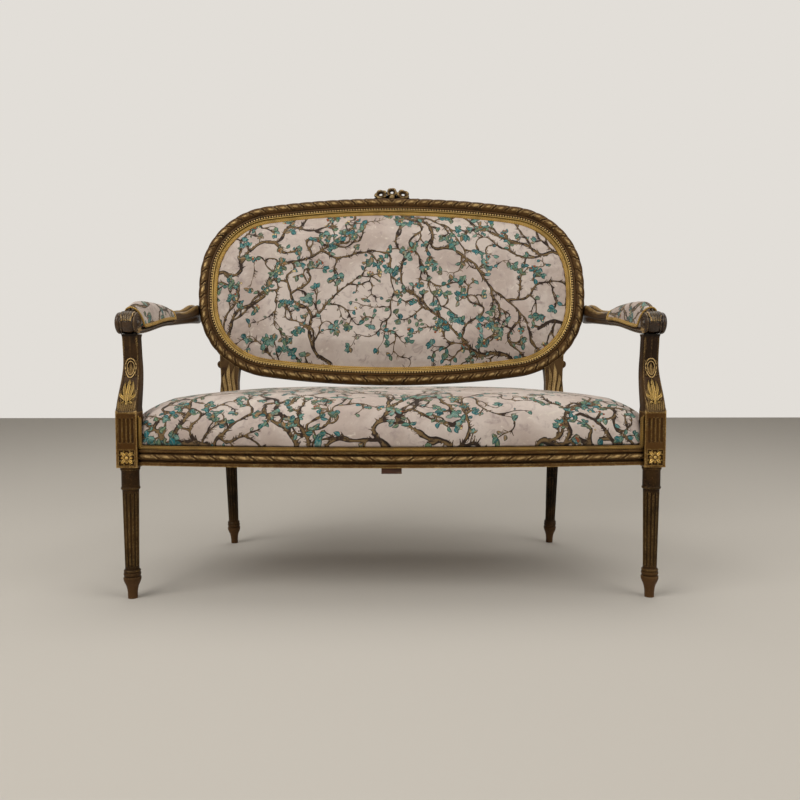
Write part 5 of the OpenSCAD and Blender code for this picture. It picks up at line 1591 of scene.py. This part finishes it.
# %% The body of the arm
# Section of an arm from the middle of its underside round to the middle of its top: share of the
# half width, share of the height, and how much the point stands proud.
arm_half = [(0.0, 0.0, 0), (0.38, 0.0, 0), (0.66, 0.02, 0), (0.80, 0.06, 0.2), (0.88, 0.14, 0.2),
            (0.86, 0.24, 0), (0.82, 0.33, 0), (0.86, 0.41, 0), (0.97, 0.47, 0.6), (1.0, 0.56, 1),
            (0.98, 0.66, 1), (0.90, 0.73, 0.5), (0.86, 0.78, 0), (0.84, 0.86, 0.4), (0.74, 0.95, 0.8),
            (0.60, 1.0, 0.8), (0.44, 0.97, 0.3), (0.30, 0.93, 0), (0.16, 0.97, 0.7), (0.0, 1.0, 1)]
arm_section = arm_half + [(-w, h, s) for w, h, s in arm_half[-2:0:-1]]
arm_steps = (-0.02, 0.0, 0.03, 0.06, 0.09, 0.12, 0.17, 0.22, 0.27, 0.32, 0.37, 0.42, 0.47, 0.52,
             pad_last + 0.003, pad_last + 0.006, 0.59, 0.62, 0.66, 0.70, 0.74, 0.78, 0.82, 0.86, 0.90,
             0.94, 0.97, 1.0)


def arm_tall(t):
    """Height of the wood: a low seat under the pad, and a rising carved part behind it."""
    return 0.015 if t < pad_last + 0.004 else 0.033 + 0.019 * soft_step(t, 0.74, 1)


arm_rings, proud = [], []
for t in arm_steps:
    tall, rear = arm_tall(t), tan(lean_angle) * soft_step(t, 0.85, 1)
    ridge = 0.0045 * soft_step(t, pad_last, pad_last + 0.05) * (1 - soft_step(t, 0.9, 1.0))
    gilded_rear = 1.3 * soft_step(t, 0.58, 0.70)
    for w, h, s in arm_section:
        crest = ridge * max(0, 1 - abs(w) / 0.3) if h > 0.9 else 0
        y = bench_y + arm_front + arm_length * t + tall * (0.5 - h) * rear
        arm_rings.append((arm_x(t) + w * arm_width / 2, y, arm_low(t) + tall * h + crest))
        proud.append(s + gilded_rear if h > 0.74 else s * 0.5)
arm_rings = np.reshape(arm_rings, (len(arm_steps), -1, 3))
arm_body = raised_like(drawn("arm_body", arm_rings), arm_rings, proud)


# %% Lip and leaf of the arm
lip_high, lip_wide, lip_behind = 0.0030, 0.0048, 0.0085
lip_rings = []
for turn in np.linspace(0, pi, 25):
    out = np.array([-cos(turn), 0, sin(turn)])
    thick = lip_high * (1 + 0.22 * abs(cos(turn * 4.5)))
    middle = pad_point(1, turn, 0.0008) + (0, lip_behind, 0)
    lip_rings.append([middle + out * (thick * cos(a) - lip_high) + (0, lip_wide * sin(a), 0)
                      for a in np.linspace(0, 2 * pi, 11)[:-1]])
rear_lip = raised(drawn("rear_lip", lip_rings), 0.55)

# The ribbed leaf lies over the top of the scroll and tucks under the front of the pad.
leaf_rings, leaf_proud = [], []
for s in np.linspace(0, 1, 17):
    outer, inner = [], []
    around = radians(172 - 128 * s)
    wide = 0.0150 * (0.30 + 0.70 * sin(pi * min(1, 0.12 + 0.80 * s)) ** 0.6)
    for u in np.linspace(-1, 1, 25):
        rib = abs(cos(u * pi * 2.5)) ** 0.7
        far = 0.0257 + 0.0016 * rib * (1 - 0.5 * u * u) + 0.0012 * sin(pi * s) - 0.0010 * u * u
        x = arm_x(0) + 0.0015 + wide * u * (1 + 0.09 * cos(s * 26) * abs(u))
        outer.append(on_scroll(x, far, around))
        inner.append(on_scroll(x, 0.0235, around))
        leaf_proud.append(0.35 * rib - 0.72 if abs(u) < 0.9 else 0.15)
    leaf_rings.append(outer + inner[::-1])
    leaf_proud += [0.0] * 25
scroll_leaf = raised_like(drawn("scroll_leaf", leaf_rings), leaf_rings, leaf_proud)
arm_parts = [arm_body, scroll, rear_lip, scroll_leaf]
for piece, side in zip(settle_pair(joined(arm_parts, "arm"), "arm_carved", dark_gilt), ("right", "left")):
    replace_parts(piece, "arm_" + side)


# %% [markdown]
# ## The arm supports
# The supports rise from the leg blocks and sweep back in an S. Their front face is a channel between
# two raised borders. Low down an acanthus leaf with flame-like blades lies in it, above that a small
# husk, and above that two flutes run up to the arm.

# %% The lines of a support
support_low, support_high = 0.4182, 0.5898
# Down a flank, from its front to its rear: share of the half depth, millimetres sunk, and how proud.
flank_rows = [(0.90, 0, 0.8), (0.80, 0.7, 0.2), (0.72, 1.0, 0), (0.64, 0.3, 0.3), (0.3, 0, 0.2),
              (-0.2, 0.2, 0), (-0.62, 0, 0.2), (-0.84, 0.1, 0.4), (-0.95, 1.2, 0.6)]


def support_back(t):
    """How far back the support has swept, from its foot at 0 to its top at 1."""
    return 0.042 * (soft_step(t, -0.12, 0.62) - soft_step(0, -0.12, 0.62)) - 0.004 * soft_step(t, 0.6, 1)


def support_wide(t):
    return 0.045 - 0.011 * soft_step(t, 0, 0.75)


def support_x(t):
    return 0.58 + 0.0021 * t


def support_face(across, t):
    """Depth of the carved front face, and how proud it is, at a share across (-1 to 1)."""
    a = abs(across)
    border = soft_step(a, 0.66, 0.76)
    groove = 0.5 * np.exp(-((a - 0.84) / 0.05) ** 2)
    flute = soft_step(t, 0.54, 0.60) * (1 - soft_step(t, 0.95, 0.98))
    divider = flute * (1 - soft_step(a, 0.07, 0.17))
    round_flute = flute * np.sin(np.clip((a - 0.12) / 0.54, 0, 1) * pi) ** 0.6
    deep = (1 - border) * (1 - divider) * (1.3 + 1.6 * round_flute) + groove * 0.9
    ends = soft_step(t, 0.0, 0.03) * (1 - soft_step(t, 0.97, 1.0))
    share = np.clip(border - groove + divider, 0, 1) * soft_step(0.98 - t, 0, 0.04)
    # Near the top, where the arm sits on the support, the value goes below zero: painted shade under the arm.
    return deep * ends / 1000, share - 0.6 * soft_step(t, 0.955, 0.98)


print("the support narrows from", support_wide(0), "to", round(float(support_wide(1)), 4))


# %% Draw the support
support_steps = (*np.linspace(0, 0.05, 5), *np.linspace(0.08, 0.94, 40), *np.linspace(0.955, 1, 5))
support_rings, proud = [], []
for t in support_steps:
    x, y, z = support_x(t), bench_y + support_back(t), support_low + (support_high - support_low) * t
    flare = 0.0012 * (1 - soft_step(t, 0, 0.06)) + 0.0014 * soft_step(t, 0.95, 1)
    straight = support_wide(t) / 2
    half = straight + flare
    ring = []
    for across in np.linspace(-1, 1, 33):
        deep, share = support_face(across, t)
        rounded = 0.0018 * max(0, (abs(across) - 0.93) / 0.07) ** 2
        ring.append((x + across * half, y - half + deep + rounded, share))
    ring += [(x + half - deep / 1000, y - along * half, share) for along, deep, share in flank_rows]
    ring += [(x + across * straight, y + half, 0.1) for across in (0.8, 0.3, -0.3, -0.8)]
    ring += [(x - half + deep / 1000, y - along * half, share) for along, deep, share in flank_rows[::-1]]
    support_rings.append([(px, py, z) for px, py, _ in ring])
    proud += [share for _, _, share in ring]
support = raised_like(drawn("support", support_rings), support_rings, proud)
print("support", len(support.data.polygons), "faces")


# %% Carved blades
# Across a blade: share of the half width, share of its thickness.
blade_section = ((-1, 0), (-0.72, 0.62), (-0.38, 1.0), (0, 0.58), (0.38, 1.0), (0.72, 0.62), (1, 0),
                 (0.5, -0.3), (-0.5, -0.3))


def on_support(across, height, lift):
    """A place on the front of the right support: metres across, metres above the floor, metres proud."""
    t = (height - support_low) / (support_high - support_low)
    return support_x(t) + across, bench_y + support_back(t) - support_wide(t) / 2 + 0.0011 - lift, height


def blade(name, spine, half_widths, thick, place):
    """A carved leaf blade: a curved spine in the face, a lens section with a groove along its middle."""
    return drawn(name, [[place(a - dh * u * half, h + da * u * half, lift * up) for u, lift in blade_section]
                        for (a, h), (da, dh), half, up in zip(spine, directions(spine), half_widths, thick)])


def curve_through(points, count):
    """A smooth line through a few points."""
    points = np.asarray(points, float)
    t = np.linspace(0, len(points) - 1, count)
    k = np.clip(t.astype(int), 0, len(points) - 2)
    f = (t - k)[:, None]
    ends = np.vstack([2 * points[0] - points[1], points, 2 * points[-1] - points[-2]])
    a, b, c, d = ends[k], ends[k + 1], ends[k + 2], ends[k + 3]
    bend = (2 * a - 5 * b + 4 * c - d) * f ** 2 + (3 * b - a - 3 * c + d) * f ** 3
    return 0.5 * (2 * b + (c - a) * f + bend)


def leaf_blade(name, points, half, thick, place, count=11):
    s = np.linspace(0, 1, count)
    bulge = 0.35 + 0.65 * np.sin(pi * np.clip(s * 0.95 + 0.06, 0, 1)) ** 0.7
    wide = half * bulge * np.clip((1.02 - s) / 0.25, 0.08, 1)
    up = thick * (0.55 + 0.45 * np.sin(pi * s)) * np.clip((1.05 - s) / 0.2, 0.25, 1)
    return blade(name, curve_through(points, count), wide, up, place)


def on_both_sides(name, blades, count=11):
    """Blades on the support, each (points, half width, thickness), and their mirror images."""
    return [leaf_blade(name, [(side * across, height) for across, height in points], half, thick,
                       on_support, count) for side in (1, -1) for points, half, thick in blades]


def shaded_hole(across, height, radius, place, lift):
    """A small drilled spot between leaves: a disc painted near-black as the shade in its hole."""
    profile = ((1.0, lift - 0.002), (1.0, lift), (0.6, lift + 0.0003))
    return raised(drawn("spot", round_rings(place, (across, height), radius, radius, profile, 10)), -1.0)


print("a blade has", len(blade_section), "points across")


# %% Skirt and leaves of the support
# A dull skirt of narrow blades stands across the foot.
skirt = []
for k in range(-4, 5):
    foot_x, top_x = k * 0.0042, k * 0.0046
    line = [(foot_x, 0.4190), ((foot_x + top_x) / 2, 0.434), (top_x, 0.4500 - 0.0011 * abs(k))]
    skirt.append(leaf_blade("skirt", line, 0.0023, 0.0026, on_support, 8))
skirt += on_both_sides("skirt_side", (
    ([(0.012, 0.440), (0.0165, 0.455), (0.0155, 0.4700)], 0.0020, 0.0024),
    ([(0.012, 0.440), (0.0130, 0.455), (0.0120, 0.4790)], 0.0020, 0.0024)), 8)
skirt = raised(joined(skirt, "skirt"), 0.50)

# A bright flame of blades stands on it, with drilled spots between them, painted near-black as shade.
middle_blade = [(0, 0.4350), (0.0006, 0.455), (-0.0004, 0.474), (0.0004, 0.4925)]
flames = [leaf_blade("leaf", middle_blade, 0.0054, 0.0054, on_support)] + on_both_sides("leaf", (
    ([(0.0026, 0.4400), (0.0058, 0.456), (0.0086, 0.470), (0.0075, 0.4880)], 0.0044, 0.0046),
    ([(0.0040, 0.4420), (0.0092, 0.4500), (0.0142, 0.4530), (0.0178, 0.4620)], 0.0042, 0.0042),
    ([(0.0030, 0.4390), (0.0080, 0.4395), (0.0130, 0.4350)], 0.0030, 0.0038)))
spots = [shaded_hole(across, height, 0.0012, on_support, 0.0036)
         for across, height in ((0.0036, 0.4778), (-0.0036, 0.4778), (0.0040, 0.4420), (-0.0040, 0.4420))]
acanthus = joined([raised(joined(flames, "flames"), 0.95)] + spots, "acanthus")

print(len(skirt.data.polygons), "faces in the skirt,", len(acanthus.data.polygons), "in the leaves")

# %% The husk, and all of the support
# The husk has a double rim, three leaves inside and short ones along its edge.
husk_parts = []
for half_wide, half_tall, thick in ((0.0118, 0.0212, 0.0015), (0.0078, 0.0150, 0.0012)):
    rim = np.array([on_support(half_wide * sin(a) * (1 - 0.14 * cos(a)), 0.5140 - half_tall * cos(a), 0.0)
                    for a in np.linspace(0, 2 * pi, 41)[:-1]]) + (0, -0.0004, 0)
    husk_parts.append(cord("husk_rim", rim, (0, -1, 0), thick, closed=True))
    for layer in ("along", "around"):
        husk_parts[-1].data.attributes.remove(husk_parts[-1].data.attributes[layer])
husk_parts.append(leaf_blade("husk", [(0, 0.4995), (0, 0.513), (0, 0.5275)], 0.0030, 0.0030, on_support))
husk_parts += on_both_sides("husk", [
    ([(0.0012, 0.5005), (0.0044, 0.509), (0.0040, 0.5200)], 0.0022, 0.0024)])
husk_parts += on_both_sides("husk_edge", [
    ([(0.0098, low), (0.0118, low + 0.003), (0.0104, low + 0.007)], 0.0016, 0.0030)
    for low in (0.4960, 0.5060, 0.5160, 0.5260)], 6)
husk = raised(joined(husk_parts, "husk"), 0.0)
supports = settle_pair(support, "support_carved", support_gilt)
settle_pair(acanthus, "acanthus", flame_gilt)
settle_pair(skirt, "skirt", carved_gilt)
settle_pair(husk, "husk", carved_gilt)
for piece, side in zip(supports, ("right", "left")):
    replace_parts(piece, "arm_support_" + side)


# %% [markdown]
# ## Rosettes, bow and stile leaves
# Small carvings finish the frame: a flower in the sunk square of each front leg block, on the front
# and on the outer side; a pierced ribbon bow on top of the oval; and long leaves and a little scroll
# on the stiles between seat and oval.

# %% Rosettes
block_middle, block_face, panel_height = 0.58, 0.0212, 0.318
boss_profile, boss_tip = ((0.0040, 0.0), (0.0040, 0.0022), (0.0032, 0.0036), (0.0018, 0.0043)), 0.0046


def rosette(middle, out, right):
    """Eight petals round a boss, with curls beside the long ones, on a flat face."""
    def place(across, up, lift):
        return np.array(middle) + np.array(right) * across + (0, 0, up) + np.array(out) * lift

    def petal(name, spots, half, thick, count):
        return leaf_blade(name, [(far * cos(a), far * sin(a)) for far, a in spots], half, thick, place, count)

    parts = []
    for k in range(8):
        a, long = pi * k / 4, k % 2
        far, half = (0.0196, 0.0050) if long else (0.0136, 0.0036)
        parts.append(petal("petal", ((0.004, a), (0.010, a), (far, a)), half, 0.0030, 8))
        if long:
            for way in (1, -1):
                spots = ((0.0125, a), (0.0160, a + way * 0.36), (0.0185, a + way * 0.41))
                parts.append(petal("curl", spots, 0.0020, 0.0026, 6))
    parts.append(drawn("boss", round_rings(place, (0, 0), 1, 1, boss_profile, 12), place(0, 0, 0),
                       place(0, 0, boss_tip)))
    spots = [shaded_hole(0.0088 * cos(a), 0.0088 * sin(a), 0.0011, place, 0.0016)
             for a in (np.arange(8) + 0.5) * pi / 4]
    return joined([raised(joined(parts, "petals"), 0.55)] + spots, "rosette")


print("a rosette stands", boss_tip, "metres proud")


# %% Place the rosettes
for name, middle, out, right in (
        ("rosette_front", (block_middle, bench_y - block_face, panel_height), (0, -1, 0), (1, 0, 0)),
        ("rosette_side", (block_middle + block_face, bench_y, panel_height), (1, 0, 0), (0, 1, 0))):
    settle_pair(rosette(middle, out, right), name, bright_gilt)


# %% Loops and tails of the bow
bow_foot = float(oval(pi / 2, 0)[1])
torus_share, loop_thick = 0.4, 0.018


def bow_loop(across, up, wide, tall, hole, turn, lobes):
    """A chunky ring of ribbon, pinched towards the knot."""
    pick_nothing()
    bpy.ops.mesh.primitive_torus_add(major_segments=36, minor_segments=14, major_radius=1,
                                     minor_radius=torus_share, location=(0, 0, 0))
    loop = bpy.context.object
    co = points_of(loop)
    around, height = np.arctan2(co[:, 1], co[:, 0]), co[:, 2] / torus_share
    out = ((np.hypot(co[:, 0], co[:, 1]) - 1) / torus_share + 1) / 2
    wave = np.abs(np.cos(around * 2.5 + lobes))
    crease = 0.82 + 0.18 * np.cos(np.clip(height, -1, 1) * 2.6)
    r = hole + out * (wide - hole) * (0.88 + 0.24 * wave)
    fold = (0.78 + 0.30 * np.sin(pi * np.clip(out, 0, 1))) * (1 + 0.12 * np.cos(around * 3 + turn))
    lift = height * loop_thick / 2 * fold * crease
    x, y = r * np.cos(around), r * np.sin(around) * tall / wide
    flat = np.column_stack([across + x * cos(turn) - y * sin(turn),
                            bow_foot + up + x * sin(turn) + y * cos(turn)])
    put_points(loop, lean(flat, frame_depth / 2 + 0.003 + lift))
    # The hole in the middle of a loop goes below zero, which paints it near-black as shade.
    rim = np.exp(-((out - 0.72) / 0.16) ** 2) * (lift > 0)
    return raised(loop, np.where(out < 0.12, -0.7, 0.9 * rim * (0.35 + 0.65 * wave) - 0.05))


def bow_tail(name, line, half, thick):
    """A flat tail of the ribbon beside the loops, from places across and up from the foot of the bow."""
    s = np.linspace(0, 1, 11)
    wide = half * (0.62 + 0.38 * np.sin(pi * s)) * np.clip((1.03 - s) / 0.12, 0.3, 1)
    spine = curve_through([(across, bow_foot + up) for across, up in line], len(s))
    return raised(blade(name, spine, wide, thick * (0.8 + 0.2 * np.sin(pi * s)),
                        lambda across, up, lift: on_frame(across, up, 0.014 + lift)), 0.3)


print("the bow stands", round(bow_foot, 4), "metres above the middle of the oval")


# %% The bow
bow_parts = [bow_loop(0.0, 0.0222, 0.0150, 0.0138, 0.0043, 0.0, 0.5),
             bow_loop(0.0325, 0.0155, 0.0182, 0.0142, 0.0044, -0.30, 0.9),
             bow_loop(-0.0325, 0.0155, 0.0182, 0.0142, 0.0044, 0.30, 2.2)]
knot_profile = ((0.9, 0.011), (1.0, 0.017), (0.98, 0.025), (0.8, 0.0295), (0.45, 0.0315))
knot_middle = (0, bow_foot + 0.0050)
knot = drawn("knot", round_rings(on_frame, knot_middle, 0.0080, 0.0075, knot_profile, 16),
             tip_last=on_frame(*knot_middle, 0.0325))
bow_parts.append(raised(knot, 0.6))

# A panel painted near-black fills the corners between loops and frame: painted shade in the openings there.
shadow_board = [(0.010, 0.0165), (0.022, 0.0150), (0.0325, 0.0100), (0.041, 0.0085), (0.0465, 0.004),
         (0.047, -0.004)]
shadow_board = [(-x, y) for x, y in shadow_board[::-1]] + shadow_board
shadow_fill = drawn("shadow_board", [[on_frame(x, bow_foot + y, depth) for x, y in shadow_board] for depth in (0.010, 0.015)])
bow_parts.append(raised(shadow_fill, [0.0] * len(shadow_board) + [-1.0] * len(shadow_board)))
for side in (1, -1):
    for name, line, half, thick in (
            ("tail_0", ((0.006, 0.003), (0.022, -0.002), (0.040, 0.0030), (0.0545, 0.0020)), 0.0056, 0.012),
            ("tail_1", ((0.064, -0.0045), (0.074, 0.0010), (0.086, -0.0035)), 0.0052, 0.010)):
        bow_parts.append(bow_tail(name, [(side * across, up) for across, up in line], half, thick))
bow = joined(bow_parts, "ribbon_bow")
settle(bow, bow_gilt)
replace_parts(bow, "crest_bow")


# %% Stile leaves
def on_stile(across, up, lift):
    """A place on the front of the right stile: across from its middle, up the lean from the seat, proud."""
    return on_frame(0.455 + across, up - oval_middle_up, frame_depth / 2 + 0.015 + lift)


stile_parts = [leaf_blade("long_leaf", line, half, 0.0036, on_stile, 13) for line, half in (
    ([(-0.016, 0.066), (-0.014, 0.095), (-0.009, 0.128), (-0.014, 0.162)], 0.0046),
    ([(-0.005, 0.066), (-0.002, 0.100), (0.004, 0.135), (0.002, 0.168)], 0.0062),
    ([(0.008, 0.066), (0.010, 0.095), (0.015, 0.120), (0.014, 0.140)], 0.0050),
    ([(0.018, 0.066), (0.019, 0.085), (0.0205, 0.105)], 0.0034))]
ear_middle = (0.4835, -0.215)
ear_profile = ((0.75, 0.002), (1.0, 0.005), (1.05, 0.016), (0.95, 0.023), (0.6, 0.0260))
stile_parts.append(drawn("ear", round_rings(on_frame, ear_middle, 0.0092, 0.0100, ear_profile, 16),
                         tip_last=on_frame(*ear_middle, 0.0270)))
settle_pair(raised(joined(stile_parts, "stile"), 0.02), "stile_carving", carved_gilt)


# %% [markdown]
# ## Under and behind
# Turned over, the settee shows woven jute straps tacked under the rails, springs, and hessian over the
# springs. Behind the back straps hold its stuffing, and a flat panel of the printed cloth covers them.
# Each strap follows the one in the construction, over and under the straps that cross it.

# %% A woven strip
strap_thick = 0.0015
# Round the section of a strap: share of the half width, share of the half thickness.
strap_section = ((-1, -0.6), (-0.96, -1), (-0.5, -1), (0, -1), (0.5, -1), (0.96, -1), (1, -0.6), (1, 0.6),
                 (0.96, 1), (0.5, 1), (0, 1), (-0.5, 1), (-0.96, 1), (-1, 0.6))


def strap(line, width):
    """A woven strip along a line of points."""
    way = directions(line)
    side = np.cross(way, np.broadcast_to((0, 0, 1), line.shape))
    side /= np.linalg.norm(side, axis=1, keepdims=True)
    face = np.cross(side, way)
    return drawn("strip", [[p + s * a * width / 2 + f * b * strap_thick / 2 for a, b in strap_section]
                           for p, s, f in zip(line, side, face)])


print("a strip is", strap_thick, "metres thick")


# %% Parts of a mesh
def loose_parts(mesh, co):
    """The points of each part of a mesh that hangs together, where points in one place count as one."""
    parent, keys = list(range(len(co))), {}
    roots = [keys.setdefault(tuple(p), k) for k, p in enumerate(np.round(co, 5))]

    def find(k):
        while parent[k] != k:
            parent[k] = parent[parent[k]]
            k = parent[k]
        return k

    for face in mesh.polygons:
        for v in face.vertices[1:]:
            parent[find(roots[v])] = find(roots[face.vertices[0]])
    groups = {}
    for k, root in enumerate(roots):
        groups.setdefault(find(root), []).append(k)
    return [co[members] for members in groups.values()]


print(len(loose_parts(nodes["seat_springs"].data, points_of(nodes["seat_springs"]))), "springs")


# %% Jute straps
def straps_like(node, name, run, leaning=False):
    """Redraws the straps of a construction node as strips in the same places. run is 0 across, 1 along."""
    co = points_of(nodes[node])
    if leaning:
        co = np.column_stack(off_lean(co))
    strips, cross = [], 1 - run
    for part in loose_parts(nodes[node].data, co):
        low, high = part.min(0), part.max(0)
        marks = np.linspace(low[run], high[run], 12) if leaning else np.unique(np.round(part[:, run], 4))
        line = []
        for m in marks:
            slab = part if leaning else part[np.abs(part[:, run] - m) < 0.0012]
            point = [0, 0, (slab[:, 2].min() + slab[:, 2].max()) / 2]
            point[run], point[cross] = m, (low[cross] + high[cross]) / 2
            line.append(point)
        line = np.array(line)
        line = line[[True, *(np.diff(line[:, run]) > 0.0008)]]
        strip = strap(line, high[cross] - low[cross])
        if leaning:
            put_points(strip, lean(points_of(strip)))
        strips.append(strip)
    whole = joined(strips, name)
    settle(whole, webbing, 60)
    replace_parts(whole, node)


straps_like("seat_straps_front_to_back", "seat_webbing_front_to_back", 1)
straps_like("seat_straps_side_to_side", "seat_webbing_side_to_side", 0)
straps_like("back_straps_upright", "back_webbing_upright", 1, True)
straps_like("back_straps_across", "back_webbing_across", 0, True)


# %% Canvas over the springs
def sheet_sizes(plan):
    """Width, height and area of a flat outline in metres."""
    x, y = plan.T
    area = float(abs(np.dot(x, np.roll(y, 1)) - np.dot(y, np.roll(x, 1))) / 2)
    print("a sheet of", round(area, 3), "square metres")
    return (float(np.ptp(x)), float(np.ptp(y))), area


canvas_share = 0.8985
canvas_rows = []
for share, side in ((0.3, 0), (0.6, 0), (0.897, 0), (canvas_share, 0.5), (0.897, 1), (0.6, 1), (0.3, 1)):
    height = canvas_low[2] + (canvas_high[2] - canvas_low[2]) * side
    canvas_rows.append(level(shrunk(seat_plan, share), height))
canvas = drawn("spring_canvas_cloth", canvas_rows, (*seat_axis, canvas_low[2]), (*seat_axis, canvas_high[2]))
settle(canvas, hessian, 60)
canvas_size, canvas_area = sheet_sizes(shrunk(seat_plan, canvas_share))
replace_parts(canvas, "spring_canvas")

# %% The panel behind the back
panel_line = oval_line(0.036, 0.010)[0][:-1]
panel_front, panel_rear, panel_full = -0.0002, -0.0016, 0.0016
panel_steps = [(k / 6, panel_front) for k in range(1, 6)] + [(0.9985, panel_front)]
panel_steps += [(k / 60, panel_rear) for k in range(60, 0, -1)]
panel_rows = [lean(panel_line * share, depth - panel_full * (1 - share ** 4)) for share, depth in panel_steps]
panel = drawn("rear_panel", panel_rows, on_frame(0, 0, panel_front - panel_full),
              on_frame(0, 0, panel_rear - panel_full))
with_modifier(panel, "SUBSURF", subdivision_type="SIMPLE", levels=1, render_levels=1)
print_sprigs(panel, off_lean(points_of(panel))[0], rear_sprigs)
settle(panel, printed_cloth, 60)
panel_size, panel_area = sheet_sizes(panel_line)
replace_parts(panel, "rear_cover")
